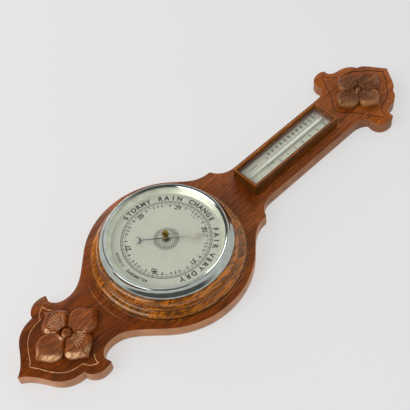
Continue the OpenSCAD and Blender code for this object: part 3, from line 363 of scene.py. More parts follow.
foot_lines = [
    [(51, -192), (58, -196), (66, -197)],
    [(66, -197), (63, -203), (58.5, -209), (50.5, -213)],
    [(50.5, -213), (49.5, -221), (47.5, -230), (44.3, -237), (39, -244), (31, -251), (20.6, -257.5),
     (10.3, -263), (0, -270)]]
crest_lines = [
    [(0, 514), (9, 507), (19, 500.3), (26.5, 491.3)],
    [(26.5, 491.3), (38, 479.7), (42.6, 472.4), (45.6, 462), (48.5, 451.8), (54.5, 444.3),
     (61.8, 438.5), (71, 436.7)],
    [(70, 433), (60.6, 427), (48.5, 419.5), (37, 414), (23.7, 405.4), (16, 398.7), (7.2, 391.4),
     (0, 389.5)]]
faint_lines = [
    [(38, -144), (36.5, -165), (39, -180), (51, -192)],
    [(133.4 * math.sin(a), -133.4 * math.cos(a)) for a in np.linspace(0, 0.35, 6)]]
bare_oak = oak("oak in a fresh gouge cut", rgb(236, 192, 140), rgb(214, 164, 112),
               rgb(170, 118, 76), coat=0.1)
# The crest's gouge cuts are coloured dark as painted shade in the grooves.
dark_cut = oak("gouge cut with painted shade", rgb(92, 44, 18), rgb(66, 28, 10), rgb(36, 14, 4), coat=0.1)
faint_cut = oak("half bare gouge cut", rgb(214, 152, 100), rgb(130, 72, 36), rgb(60, 26, 8),
                coat=0.1)
grooves = []
for name, half, gouge_r, cut_finish in (("foot_lines", foot_lines, 0.6, bare_oak),
                                        ("faint_lines", faint_lines, 0.6, faint_cut),
                                        ("crest_lines", crest_lines, 0.9, dark_cut)):
    rows = [stroke(*marks) for marks in half] + [stroke(*mirrored(marks)) for marks in half]
    grooves.append(run_tree(wire(name, rows), gouge, {"Gouge Radius": gouge_r / 1000,
                                                      "Finish": cut_finish}))


def slot_cutter(ends, radius, low, high, turns):
    """A cutter with two half round ends, centred at a lower and an upper height."""
    points = [at_dial(radius * math.cos(a), ends[math.sin(a) >= 0] + radius * math.sin(a), out)
              for out in (low, high) for a in turns]
    return piece("cutter", points, block_faces(len(turns)), board_oak, None)


bore_r = 74.5
all_round = np.linspace(0, 2 * math.pi, 97)[:-1]
slot_round = np.linspace(0.001, 2 * math.pi - 0.001, 96)
case_hole = slot_cutter((0, 0), bore_r, -1, 22, all_round)
plate_bed = slot_cutter((438, 472), 13.05, -1, 2.05, slot_round)
screw_well = slot_cutter((450, 461), 7, 1, 12.5, slot_round)
cut_from(board, grooves + [case_hole, plate_bed, screw_well])
settle(board, "case", ["back_board"], 32)


# The two flowers are carved in the round from separate blocks and glued on: four petals with
# sloping rims, fluted with a gouge from the boss outwards and parted by V cuts. The slopes that
# face down to the right and the lit side of the lower flower's gouge strokes are painted pale,
# partly wear and partly painted highlight; the boss has a painted highlight, and the cuts and
# hollows painted shade.

def petal_half(reach, width):
    """The right edge of a petal, from the valley beside it to its point."""
    size, valley = np.array([width, reach]), 0.457 * width
    return draw_line(
        (valley, valley), ((0.54, 0.51) * size, (0.51, 0.63) * size, (0.37, 0.75) * size, 14),
        ((0.22, 0.84) * size, (0.09, 0.89) * size, (0, reach), 14))


def flower_edge(reach_up, reach_side, width):
    """The edge of a flower all the way round, from the point of its right petal."""
    quarter = [(y, x) for x, y in petal_half(reach_side, width)][::-1]
    quarter += petal_half(reach_up, width)[1:]
    upper = np.array(quarter + mirrored(quarter[:-1])[::-1])
    return np.vstack([upper, -upper[1:-1]])


def edge_distance(edge, x, y):
    """How far each point is from the edge, for a few thousand points at a time."""
    closed = np.vstack([edge, edge[:1]])
    fine = np.vstack([a + (b - a) * np.linspace(0, 1, 9)[:-1, None]
                      for a, b in zip(closed[:-1], closed[1:])])
    flat, batch = np.stack([x.ravel(), y.ravel()], 1), 4096
    return np.concatenate([np.sqrt(((flat[i:i + batch, None] - fine) ** 2).sum(2).min(1))
                           for i in range(0, len(flat), batch)]).reshape(x.shape)


def cut_strokes(cuts, x, y, surface, worn, painted_shade):
    """Cuts gouge strokes into a surface, each by its bearing, start, end and depth. The side of a
    stroke that faces the light is marked pale, as wear and painted highlight, and its other side
    dark as painted shade; where the last number is below nought, the whole trough is marked dark as
    painted shade."""
    for bearing, start, end, depth, pale in cuts:
        a = math.radians(bearing)
        reach_in = x * math.cos(a) + y * math.sin(a)
        aside = -x * math.sin(a) + y * math.cos(a)
        t = np.clip((reach_in - start) / (end - start), 0, 1)
        wide = (0.45 if pale > 0 else 0.6) + 0.55 * t
        trough = np.exp(-(aside / wide) ** 2) * np.sin(math.pi * t ** 0.75) ** 0.4
        trough *= (reach_in > start) * (reach_in < end)
        surface -= depth * trough
        lit = np.clip(0.5 + 1.4 * aside / wide * (math.sin(a) + math.cos(a)), 0, 1)
        # The lit side of a stroke is painted pale, as wear and painted highlight; its other side,
        # or the whole trough, gets painted shade.
        if pale > 0:
            worn[:] = np.maximum(worn, pale * np.clip(trough * 1.5 - 0.1, 0, 1) * lit)
        painted_shade[:] = np.maximum(painted_shade, 0.8 * trough * (1 - lit) if pale > 0 else -pale * trough)


def fall_to_lower_right(surface, r, angle):
    """How steeply a surface falls towards the lower right."""
    least = 1e-6
    step = r[1:2, :] - r[:1, :] + least
    outward = np.gradient(surface, axis=0) / (np.gradient(r, axis=0) + least)
    sideways = (np.roll(surface, -1, 1) - np.roll(surface, 1, 1)) / (
        2 * np.maximum(r, step) * 2 * math.pi / len(angle))
    fall_x = -(outward * np.cos(angle) - sideways * np.sin(angle))
    fall_y = -(outward * np.sin(angle) + sideways * np.cos(angle))
    return (fall_x - fall_y) / math.sqrt(2)


def carved_block(name, centre, x, y, surface, finish, node):
    """A block whose top is given as rings of points, with its sides let just into the board."""
    rings, around = x.shape
    top = np.stack(at_dial(centre[0] + x, centre[1] + y, board_front + surface), -1)
    bottom = top[-1].copy()
    bottom[:, 1] = -(board_front - 0.01) / 1000
    points = [*top[1:].reshape(-1, 3), *bottom, top[0, 0]]
    faces = [(k * around + j, (k + 1) * around + j, (k + 1) * around + (j + 1) % around,
              k * around + (j + 1) % around) for k in range(rings - 1) for j in range(around)]
    faces += [(len(points) - 1, j, (j + 1) % around) for j in range(around)]
    faces.append(tuple((rings - 1) * around + j for j in reversed(range(around))))
    return piece(name, points, faces, finish, "case", [node], 60)


def carve_flower(name, centre, reach_up, reach_side, width, height, slope, fall, parting, boss_r,
                 cuts, wear, finish, node):
    """A flower as rings of points from its middle outwards, each raised to the carver's height."""
    edge = flower_edge(reach_up, reach_side, width)
    around, rings, boss_sides = 720, 112, 9
    hollow_depth, tool_depth, bed_depth, fuzz = 1.2, 0.09, 4.2, 0.025
    angle = np.linspace(0, 2 * math.pi, around, endpoint=False)
    edge_angle = np.unwrap(np.arctan2(edge[:, 1], edge[:, 0]))
    edge_angle = np.append(edge_angle, edge_angle[0] + 2 * math.pi)
    edge_radius = np.append(np.hypot(*edge.T), math.hypot(*edge[0]))
    radius = np.interp(angle, edge_angle, edge_radius)
    share = np.linspace(0, 1, rings) ** 0.92
    r = share[:, None] * radius[None, :]
    x, y = r * np.cos(angle), r * np.sin(angle)
    petal = np.round(angle / (math.pi / 2)) * math.pi / 2
    along, across = r * np.cos(angle - petal), r * np.sin(angle - petal)
    to_edge = edge_distance(edge, x, y)
    to_cut = np.abs(along - np.abs(across)) / math.sqrt(2)
    rng = np.random.default_rng(len(name))
    waves = rng.uniform(0, 6.3, 6)
    tool = (np.sin(0.9 * x + 1.3 * y + waves[0]) + np.sin(1.7 * x - 0.8 * y + waves[1])
            + np.sin(2.9 * y + 1.1 * x + waves[2]))
    # Each petal is hollowed inside its rim, and keeps the marks of the tool; the deepest tool marks
    # get painted shade.
    field = np.clip((np.minimum(to_edge - slope, to_cut - 0.7 * parting) - 0.2) / 4.2, 0, 1)
    field = field * field * (3 - 2 * field)
    surface = height - hollow_depth * field + tool_depth * tool * field
    surface += 0.16 * np.sin(x * 5.2 + 0.6 * np.sin(y * 0.7)) * field
    worn, painted_shade = np.zeros_like(r), 0.25 * field * (tool < -1.0)
    cut_strokes(cuts, x, y, surface, worn, painted_shade)
    # The rims slope down to the edge, and V cuts part the petals.
    surface = np.minimum(surface, height - fall + fall * np.clip(to_edge / slope, 0, 1) ** 0.9)
    surface = np.minimum(surface, height - 1.45 * parting * (1 - np.clip(to_cut / parting, 0, 1))
                         + 8 * np.clip((boss_r - r) / 4, 0, 1))
    # Painted shade darkens the V cuts.
    painted_shade = np.maximum(painted_shade, np.clip(1 - to_cut / 0.9, 0, 1) * (r > 9))
    # The boss stands in a sunk bed, and has flat facets.
    bed = np.clip((boss_r + 2.4 - r) / 2, 0, 1)
    surface -= bed_depth * bed
    turns = np.arange(boss_sides) * 2 * math.pi / boss_sides - math.pi / 2
    facets = np.max([np.cos(t) * x + np.sin(t) * y for t in turns], axis=0)
    boss = height - 0.2 - np.clip(facets - 4, 0, None) * 0.35 - (r / boss_r) ** 4 * 3.6
    boss += 0.22 * np.cos(2.1 * x) * np.cos(1.9 * y)
    surface = np.where(r < boss_r + 1.2, np.maximum(surface - 2, boss), surface)
    # Painted shade darkens a ring in the bed round the boss.
    painted_shade = np.maximum(painted_shade, 0.8 * np.exp(-((r - boss_r - 1.3) / 1.0) ** 2))
    # The rims that face down to the right are painted pale, partly wear and partly painted
    # highlight, and a painted highlight sits on the boss's lower side.
    down_right = fall_to_lower_right(surface, r, angle)
    rim = np.clip(slope + 0.5 - to_edge, 0, 1)
    rim = np.maximum(rim, 0.7 * (to_cut < 1.8) * (r > 15) * (r < 25))
    worn = np.maximum(worn, wear * np.clip((down_right - 0.4) / 0.35, 0, 1) * rim)
    worn = np.maximum(worn, wear * 1.4 * np.exp(-((x - 1.8) ** 2 + (y + 1.2 * boss_r) ** 2) / 12))
    surface += rng.normal(0, fuzz, surface.shape)
    surface[-1, :] = height - fall
    made = carved_block(name, centre, x, y, surface, finish, node)
    for label, amount in (("worn", worn), ("painted_shade", painted_shade)):
        values = np.concatenate([amount[1:].ravel(), np.zeros(around), amount[0, :1]])
        made.data.attributes.new(label, "FLOAT", "POINT").data.foreach_set(
            "value", values.astype(np.float32))


lower_oak = oak("carved oak, lower", rgb(162, 84, 30), rgb(120, 58, 18), rgb(50, 20, 6), coat=0.15,
                roughness=0.36, rubbed=rgb(236, 186, 138))
upper_oak = oak("carved oak, upper", rgb(162, 96, 50), rgb(120, 66, 30), rgb(58, 27, 9), coat=0.15,
                roughness=0.36, rubbed=rgb(206, 154, 100))
lower_cuts = [(180 + a, 10.5, end, 1.3, 1.0) for a, end in (
    (-25, 31), (-19, 35), (-12.5, 37), (-6, 38), (0, 38), (6.5, 37), (13, 36), (20, 35), (27, 32))]
lower_cuts += [(a, 11, 32 - abs(a) * 0.1, 1.0, 0.8) for a in (-6, 2, 10, 18.5, 27, 35)]
lower_cuts += [(a, 13, 20, 0.5, 0.15) for a in (64, 77, 90, 103, 116, 244, 257, 270, 283, 296)]
upper_cuts = [(quarter + a, 9, 33 - abs(a) * 0.12, 1.1, -0.95) for quarter in (0, 90, 180, 270)
              for a in (-36, -27, -18, -9, 0, 9, 18, 27, 36)]
upper_cuts += [(a, 16, 29, 0.7, 0.4) for a in (3.5, 11, 18.5, 26)]
carve_flower("lower_flower", (0, -201), reach_up=58, reach_side=50.5, width=46, height=13,
             slope=5.6, fall=5.4, parting=3.6, boss_r=8.4, cuts=lower_cuts, wear=1.0,
             finish=lower_oak, node="lower_carving")
carve_flower("upper_flower", (0, 446), reach_up=51, reach_side=46.5, width=40, height=12,
             slope=3.4, fall=4.2, parting=2.0, boss_r=5.6, cuts=upper_cuts, wear=0.4,
             finish=upper_oak, node="upper_carving")


# The ring round the instrument is turned from oak on a faceplate: a square fillet at the board,
# a fat bead, a cove and a rounded shoulder up to the bezel. Its grain runs straight across, so
# the rays show as dark flecks where the turning cuts through them. It is polished to a gloss.

lathe_r = 100  # millimetres from the lathe's axis to the line that a profile is drawn along
lathe, given = new_tree("Turn a profile", ("Steps", "Int"))
profile = add(lathe, "GeometryNodeMeshToCurve", {0: given["Plan"]})
path = add(lathe, "GeometryNodeCurvePrimitiveCircle", {"Resolution": given["Steps"],
                                                       "Radius": lathe_r / 1000})
upright = add(lathe, "GeometryNodeSetCurveNormal", {0: path.outputs[0]})
upright.mode = "Z_UP"
spun = add(lathe, "GeometryNodeCurveToMesh", {"Curve": upright.outputs[0],
                                              "Profile Curve": profile.outputs[0]})
end_tree(lathe, given, add(lathe, "GeometryNodeTransform", {
    "Geometry": spun.outputs[0], "Rotation": (-math.pi / 2, 0, 0),
    "Translation": (0, 0, -dial_drop)}))


def face_outwards(made):
    """Turns the faces of a closed piece outwards, once points that touch are joined."""
    mesh = bmesh.new()
    mesh.from_mesh(made.data)
    bmesh.ops.remove_doubles(mesh, verts=mesh.verts, dist=1e-6)
    bmesh.ops.recalc_face_normals(mesh, faces=mesh.faces)
    mesh.to_mesh(made.data)
    mesh.free()


def turn(name, profile, finish, slot, node):
    """A turned piece from its profile: a closed list of radius and depth in millimetres."""
    rows = [((r - lathe_r) / 1000, out / 1000, 0) for r, out in profile]
    made = run_tree(wire(name, [rows + rows[:1]]), lathe, {"Steps": 288, "Finish": finish})
    face_outwards(made)
    return settle(made, "case", [node], 40)


ring_top_r, ring_slope, ring_rise = 104.2, 18.2, 29.7


def on_ring(out, up):
    """A place on the ring's profile, as shares of its slope and of its rise."""
    return ring_top_r + out * ring_slope, up * ring_rise


ring_profile = draw_line(
    (bore_r, 0), on_ring(1, 0), (ring_top_r + ring_slope, 0.04 * ring_rise - 0.3),
    (ring_top_r + ring_slope - 0.3, 0.04 * ring_rise), on_ring(0.956, 0.067), on_ring(0.868, 0.067),
    (on_ring(0.96, 0.19), on_ring(0.80, 0.33), on_ring(0.511, 0.33), 18),
    (on_ring(0.33, 0.343), on_ring(0.275, 0.438), on_ring(0.264, 0.556), 14), on_ring(0.308, 0.572),
    (on_ring(0.33, 0.774), on_ring(0.209, 0.976), on_ring(0, 1), 18), (bore_r, ring_rise))
ring_profile = [(r, board_front + out) for r, out in ring_profile]
ring_oak = oak("turned oak", rgb(188, 108, 18), rgb(126, 66, 8), rgb(52, 22, 4), roughness=0.26,
               coat=0.45, fine=0.32)
tree = ring_oak.node_tree
flat = add(tree, "ShaderNodeVectorMath", {0: on_object(tree), 1: (1, 0, 1)}, operation="MULTIPLY")
flat = add(tree, "ShaderNodeVectorMath", {0: flat.outputs[0], 1: (0, 0, dial_drop)},
           operation="ADD")
from_axis = add(tree, "ShaderNodeVectorMath", {0: flat.outputs[0]}, operation="LENGTH")
# Painted shade across the ring: dark bands in the cove and at the foot of the bead, and slightly
# darker next to the bezel and at the outer edge.
painted_shade_bands = ramp(tree, stretch(tree, from_axis.outputs["Value"], 0.104, 0.124), [
    (0.0, 0.8), (0.12, 1.0), (0.3, 1.0), (0.33, 0.35), (0.36, 0.35), (0.4, 1.0), (0.8, 1.0),
    (0.825, 0.3), (0.85, 0.3), (0.88, 0.9)])
surface = tree.nodes["Principled BSDF"]
bare = surface.inputs["Base Color"].links[0].from_socket
feed(tree, surface, {"Base Color": mix(tree, 1.0, bare, painted_shade_bands, "MULTIPLY"),
                     "Specular IOR Level": 0.6, "Coat Roughness": 0.08})
turn("turned_ring", ring_profile, ring_oak, "turned_oak", "bezel_surround")


# The instrument behind the dial: a spun steel case with a brass movement, a corrugated brass
# vacuum capsule under a leaf spring, and the lever, chain and arbor that turn the hand. It is
# plain bench work, and is seen only from behind or with the dial off.

def metal(name, colour, roughness, grain=0.12, shade=0.8):
    """Bare metal with fine scratches and a slight change of tone from place to place."""
    made, tree, surface = new_finish(name)
    place = on_object(tree)
    tone = ramp(tree, noise(tree, place, 60.0, 4.0), [(0.35, shade), (0.65, 1)])
    scratches = noise(tree, place, 900.0, 3.0)
    dull = stretch(tree, scratches, 0, 1, max(roughness - grain, 0.03), roughness + grain)
    bump = add(tree, "ShaderNodeBump", {"Height": scratches, "Strength": 0.08, "Distance": 0.0002})
    feed(tree, surface, {"Base Color": mix(tree, 1.0, colour, tone, "MULTIPLY"),
                         "Roughness": dull, "Normal": bump.outputs[0], "Metallic": 1.0})
    return made


def finish_nodes(finish, *names):
    """Gives nodes of the CAD model their finish, in the slot that they have."""
    for name in names:
        mesh = cad[name].data
        mesh.materials.clear()
        mesh.materials.append(finish)


brass = metal("polished brass", rgb(214, 174, 96), 0.28)
steel = metal("turned steel", rgb(176, 176, 176), 0.3)
case_steel = metal("tinned case steel", rgb(150, 150, 146), 0.42, shade=0.65)
blued = metal("blued steel", rgb(66, 84, 102), 0.32)
finish_nodes(case_steel, "instrument_case")
finish_nodes(brass, "movement_plate", "vacuum_capsule", "main_lever", "crank_arm", "chain_arm",
             "rocker_bracket", "chain_pulley", "arbor_bridge", "arbor_pillars", "lower_cock",
             "dial_pillars", "adjusting_screw", "surround_screws", "box_screws", "hanging_plate",
             "hanging_screws")
finish_nodes(steel, "case_screws", "movement_screws", "capsule_post", "knife_pin", "spring_bridge",
             "foot_screws", "clamp_plate", "clamp_screws", "lever_link", "rocking_shaft",
             "drive_chain", "pointer_arbor", "arbor_bridge_screws", "cock_screw", "pillar_screws")
finish_nodes(blued, "main_spring", "hairspring")


# The dial is a brass disc, silvered by hand and lacquered, so it is pale and a little green. Its
# scale of inches from 26 to 32, the weather words and the engine-turned star in the middle are
# printed on it in black.

def silvering(name, colour, roughness, shine=0.25, shade=0.95):
    """Rubbed and lacquered silver: soft, with a slow change of tone."""
    made = metal(name, colour, roughness, 0.05, shade=shade)
    tree = made.node_tree
    feed(tree, tree.nodes["Principled BSDF"], {"Metallic": shine, "Coat Weight": 0.2})
    return made


def wax(name, dark, light):
    """Engravers' wax, a little worn, so that its tone changes from place to place."""
    made, tree, surface = new_finish(name)
    worn = noise(tree, on_object(tree), 260.0, 3.0)
    feed(tree, surface, {"Base Color": ramp(tree, worn, [(0.35, dark), (0.7, light)]),
                         "Roughness": 0.5})
    return made


dial_silver = silvering("silvered dial", rgb(214, 213, 197), 0.42)
finish_nodes(dial_silver, "dial_plate")
ink = wax("black wax", rgb(26, 26, 24), rgb(58, 58, 52))
grey_ink = wax("grey wax", rgb(96, 98, 90), rgb(136, 138, 128))


def lay_letters(points, faces, text, size, bold, place):
    """Adds plain drawn letters, centred on their own middle, where place(x, y) puts each point."""
    drawn = bpy.data.curves.new("letters", "FONT")
    drawn.body, drawn.size, drawn.align_x, drawn.align_y = text, size, "CENTER", "CENTER"
    drawn.offset, drawn.resolution_u = bold, 3
    holder = in_scene("letters", drawn)
    mesh = plain_mesh(holder)
    start = len(points)
    points += [place(v.co.x, v.co.y) for v in mesh.vertices]
    faces += [tuple(start + i for i in face.vertices) for face in mesh.polygons]
    bpy.data.objects.remove(holder)
    bpy.data.meshes.remove(mesh)


print_out = 55.42  # the dial's print, in millimetres out from the wall
print_points, print_faces = [], []


def print_label(text, size, angle, radius, tilt=0.0, bold=0.0):
    """Prints letters at a bearing and radius, with their tops away from the dial's middle."""
    bearing, turn_by = math.radians(angle), -math.radians(angle + tilt)
    left, up = math.cos(turn_by), math.sin(turn_by)
    lay_letters(print_points, print_faces, text, size, bold, lambda x, y: at_dial(
        radius * math.sin(bearing) + x * left - y * up,
        radius * math.cos(bearing) + x * up + y * left, print_out))


def print_word(word, middle, radius, size, gap, bold, over=False):
    """Spreads a word along an arc, a letter at a time. Over: its tops point to the middle."""
    for i, letter in enumerate(word):
        shift = (i - (len(word) - 1) / 2) * gap
        print_label(letter, size, middle + (-shift if over else shift), radius,
                    180 if over else 0, bold)


for word, middle, gap in (("STORMY", -86.4, 6.8), ("RAIN", -43.1, 7.8), ("CHANGE", 0.8, 7.0),
                          ("FAIR", 45.2, 7.8), ("VERY", 79.5, 6.9), ("DRY", 107.4, 7.3)):
    print_word(word, middle, 75.4, 11.0, gap, 0.5)
print_word("ANEROID", 197.8, 77.4, 5.4, 3.0, 0.16, over=True)
print_word("BAROMETER", 167.4, 77.8, 6.0, 3.1, 0.26, over=True)
for inches in (27, 28, 29, 30, 31):
    print_label(str(inches), 10.4, (inches - 28) * 60 - 90, 58.6, bold=0.34)
print_label("26", 8.2, 148.4, 60.4, bold=0.34)
print_label("32", 8.2, 151.4, 57.0, bold=0.34)
print_label("INCHES", 2.7, 0, 55.2, bold=0.03)
for inch in range(6):
    for tenth in (2, 4, 5, 6, 8):
        print_label(str(tenth), 5.0, 150 + inch * 60 + tenth * 6, 60.7, bold=0.24)
piece("dial_figures", print_points, print_faces, ink, "case", smooth=None)


def ribbons(name, lines, finish):
    """Flat printed lines, each given as its points and its width, laid on the dial."""
    points, faces = [], []
    for row, wide in lines:
        row = np.array(row, float)
        way = np.gradient(row, axis=0)
        way /= np.maximum(np.linalg.norm(way, axis=1), 1e-9)[:, None]
        aside = np.stack([way[:, 1], -way[:, 0]], 1) * wide / 2
        start = len(points)
        for a, b in zip(row + aside, row - aside):
            points += [at_dial(*a, print_out), at_dial(*b, print_out)]
        faces += [(start + 2 * i, start + 2 * i + 1, start + 2 * i + 3, start + 2 * i + 2)
                  for i in range(len(row) - 1)]
    return piece(name, points, faces, finish, "case", smooth=None)


def ring_line(radius, steps=240, wave=0.0, lobes=0, phase=0.0):
    """A circle, or one that waves in and out."""
    turns = np.linspace(0, 2 * math.pi, steps + 1)
    far = radius + wave * np.cos(lobes * turns + phase)
    return np.stack([far * np.sin(turns), far * np.cos(turns)], 1)


ribbons("scale_lines", [(ring_line(radius), wide) for radius, wide in (
    (69.4, 0.85), (66.2, 0.4), (62.9, 0.5))], ink)
lace = [(ring_line(17.9, 320, 1.7, 16, phase), 0.7) for phase in (0, math.pi)]
lace += [(ring_line(19.4, 320, 0.5, 32), 0.55), (ring_line(15.5), 0.65),
         (ring_line(14.6, 320, 0.5, 32), 0.4), (ring_line(16.4, 320, 0.6, 32), 0.3)]
star = ring_line(1, 16)[:-1] * np.where(np.arange(16) % 2, 9.8, 12.2)[:, None]
lace += [(np.vstack([star, star[:1]]) * k, wide) for k, wide in ((1.08, 1.0), (0.72, 0.9))]
lace += [(np.outer([13.0, 14.6], (math.sin(a), math.cos(a))), 0.5)
         for a in np.arange(48) * math.pi / 24]
ribbons("star_outer", lace, grey_ink)
petals = []
for a in np.arange(16) * math.pi / 8:
    t = np.linspace(0, 2 * math.pi, 17)
    loop = np.stack([0.5 * np.sin(t), 5.0 - 1.9 * np.cos(t)], 1)
    turned = loop @ np.array([[math.cos(a), -math.sin(a)], [math.sin(a), math.cos(a)]])
    petals.append((turned, 0.62))
ribbons("star_middle", petals, ink)

marks, given = new_tree(
    "Marks round a dial", ("Count", "Int"), ("First Angle", "Float"), ("Angle Step", "Float"),
    ("Radius", "Float"), ("Size", "Vector"), ("Depth", "Float"))
spots = add(marks, "GeometryNodePoints", {"Count": given["Count"]})
number = add(marks, "GeometryNodeInputIndex").outputs[0]
angle = reckon(marks, "MULTIPLY_ADD", number, given["Angle Step"], given["First Angle"])
across = reckon(marks, "MULTIPLY", reckon(marks, "SINE", angle), given["Radius"])
up = reckon(marks, "MULTIPLY_ADD", reckon(marks, "COSINE", angle), given["Radius"], -dial_drop)
where = add(marks, "ShaderNodeCombineXYZ", {0: across, 1: given["Depth"], 2: up})
placed = add(marks, "GeometryNodeSetPosition", {"Geometry": spots.outputs[0],
                                                "Position": where.outputs[0]})
mark = add(marks, "GeometryNodeMeshCube", {"Size": given["Size"]})
lean = add(marks, "ShaderNodeCombineXYZ", {1: angle})
end_tree(marks, given, add(marks, "GeometryNodeInstanceOnPoints", {
    "Points": placed.outputs[0], "Instance": mark.outputs["Mesh"], "Rotation": lean.outputs[0]}))


def print_marks(name, count, first, step, radius, width, length):
    """A row of marks: their number, first bearing, step, and the radius of their middles."""
    made = run_tree(wire(name, [[(0, 0, 0)]]), marks, {
        "Count": count, "First Angle": math.radians(first), "Angle Step": math.radians(step),
        "Radius": radius / 1000, "Depth": -print_out / 1000, "Finish": ink,
        "Size": (width / 1000, 0.00006, length / 1000)})
    return settle(made, "case", smooth=None)


print_marks("hundredth_marks", 301, 150, 1.2, 67.8, 0.42, 3.0)
print_marks("tenth_marks", 60, 150, 6, 66.2, 0.6, 6.4)
print_marks("inch_marks", 6, 150, 60, 65.4, 0.9, 8.6)


# The hands: the pressure hand is a blued steel needle with a crescent on its tail, and the set
# hand in front of it is silvered brass, with a small leaf two thirds of the way out. The knob is
# plain brass, knurled, and dark in its grooves.

finish_nodes(metal("blued steel of the hand", rgb(92, 116, 120), 0.4), "pressure_hand")
hand_brass = metal("silvered hand", rgb(238, 228, 206), 0.34)
finish_nodes(hand_brass, "set_hand", "set_washer", "set_nut", "set_spindle")
finish_nodes(metal("knob brass", rgb(156, 128, 60), 0.26, shade=0.5), "set_knob")


# The reflector is a spun silver-plated ring that slopes from the glass down to the dial, and the
# bezel is spun brass, chromed and polished: a flange on the ring, a cove, a bright roll, and a lip
# over a flat pane of glass with a hole for the set spindle.

plate = silvering("silver plating", rgb(240, 242, 220), 0.36, 0.3, 0.78)
chrome = metal("polished chrome", rgb(188, 195, 188), 0.09, 0.04, shade=0.82)
dial_out, glass_out, ring_out = 55.4, 62.0, 50.7  # their fronts, in millimetres from the wall
turn("reflector", draw_line((84.5, dial_out), (85.4, dial_out),
                            ((87.6, 56.2), (90.8, 59.0), (92.9, 61.4), 12), (92.9, glass_out),
                            (92.0, glass_out)), plate, "reflector_silver", "reflector_ring")
crest_r, sight, bore, rise, flange = 94.6, 90.0, 93.3, 16.2, 103
bezel_profile = draw_line(
    (bore, 0), (flange, 0), (flange, 2.4), (102.9, 2.9),
    ((102.5, 4.2), (101.4, 5.6), (100.2, 7.4), 10), ((98.8, 9.5), (97.8, 11.0), (97.0, 12.8), 10),
    ((96.4, 14.6), (96.0, rise), (crest_r, rise), 14),
    ((crest_r - 1.8, rise), (sight + 1.4, rise - 0.8), (sight, rise - 2.0), 14),
    (sight, rise - 2.5), (bore, rise - 2.5))
turn("chrome_bezel", [(r, ring_out + out) for r, out in bezel_profile], chrome, "bezel_chrome",
     "metal_bezel")


def window(name, tint):
    """Clear glass: it passes light straight through, and reflects more at a glancing angle."""
    made, tree, surface = new_finish(name)
    tree.nodes.remove(surface)
    clear = add(tree, "ShaderNodeBsdfTransparent", {"Color": tint})
    gloss = add(tree, "ShaderNodeBsdfGlossy", {"Color": (1, 1, 1, 1), "Roughness": 0.05})
    film = stretch(tree, noise(tree, on_object(tree), 40.0), 0, 1, 0.03, 0.05)
    glance = add(tree, "ShaderNodeLayerWeight", {"Blend": 0.5}).outputs["Facing"]
    share = reckon(tree, "MULTIPLY_ADD", reckon(tree, "POWER", glance, 5.0), 0.96, film)
    both = add(tree, "ShaderNodeMixShader", {0: share, 1: clear.outputs[0],
                                             2: gloss.outputs[0]})
    feed(tree, tree.nodes["Material Output"], {"Surface": both.outputs[0]})
    return made


pane = window("clear glass", (0.985, 0.995, 0.985, 1))
finish_nodes(pane, "dial_glass", "box_glass")


# The thermometer box is four mitred rails of the same oak, screwed on from the back, with a pane
# of glass sunk below a sloping rim. The grain runs along each rail.

def rail(name, corner_a, corner_b, inward, finish, node):
    """One rail between two outer corners, mitred at both ends towards the box's middle."""
    profile = draw_line((0, 0), (0, 23.4), (0.24, 23.97), (0.8, 24.2), (1.8, 24.2), (2.1, 24.05),
                        ((3.2, 23.6), (4.6, 22.2), (5.5, 20.8), 8), (5.5, 19.8), (4.5, 19.8),
                        (4.5, 0))
    a, b, inward = (np.array(v, float) for v in (corner_a, corner_b, inward))
    way = (b - a) / np.linalg.norm(b - a)
    points = [at_dial(*(end + inward * depth + way * depth * mitre), board_front + out)
              for end, mitre in ((a, 1), (b, -1)) for depth, out in profile]
    made = piece(name, points, block_faces(len(profile)), finish, None)
    # The rounded arris and flat top of each rail take a lighter oak: partly wear and partly painted
    # highlight.
    made.data.materials.append(arris_wear_and_highlight)
    for arris_face in made.data.polygons[1:5]:
        arris_face.material_index = 1
    face_outwards(made)
    return settle(made, "case", [node], 30)


low, high, half = 168.0, 362.0, 25.25
# A lighter oak for the rails' arrises: partly wear and partly painted highlight.
arris_wear_and_highlight = oak("arris, worn and painted highlight", rgb(190, 112, 48), rgb(150, 82, 30), rgb(90, 44, 14), coat=0.2)
rail_colours = rgb(136, 76, 20), rgb(94, 49, 8), rgb(38, 17, 3)
upright_oak = oak("box oak, long rails", *rail_colours, coat=0.05)
cross_oak = oak("box oak, short rails", *rail_colours, along="X", coat=0.05)
for finish in (upright_oak, cross_oak):
    finish.node_tree.nodes["Principled BSDF"].inputs["Specular IOR Level"].default_value = 0.12
rail("left_rail", (-half, low), (-half, high), (1, 0), upright_oak, "box_rail_left")
rail("right_rail", (half, low), (half, high), (-1, 0), upright_oak, "box_rail_right")
rail("bottom_rail", (-half, low), (half, low), (0, 1), cross_oak, "box_rail_bottom")
rail("top_rail", (-half, high), (half, high), (0, -1), cross_oak, "box_rail_top")


# Inside the box a silvered scale is screwed to a wooden block, and two clips hold the opal glass
# tube over it, with its thin bulb at the lower end. Fahrenheit degrees are printed on the left of
# the tube and centigrade on the right.

scale_silver = silvering("silvered scale", rgb(224, 222, 202), 0.42, 0.15)
finish_nodes(scale_silver, "scale_plate", "tube_clips")
finish_nodes(oak("sawn block", rgb(150, 104, 66), rgb(120, 80, 50), rgb(80, 50, 30), coat=0.0,
                 roughness=0.6), "scale_backing")
finish_nodes(brass, "scale_screws")
opal, tree, surface = new_finish("opal glass tube")
milk = ramp(tree, noise(tree, on_object(tree), 90.0),
            [(0.3, rgb(246, 247, 236)), (0.7, rgb(252, 252, 246))])
feed(tree, surface, {"Base Color": milk, "Roughness": 0.15, "Coat Weight": 0.5})
finish_nodes(opal, "thermometer_tube")
finish_nodes(wax("red spirit", rgb(96, 12, 12), rgb(120, 22, 18)), "spirit_column")

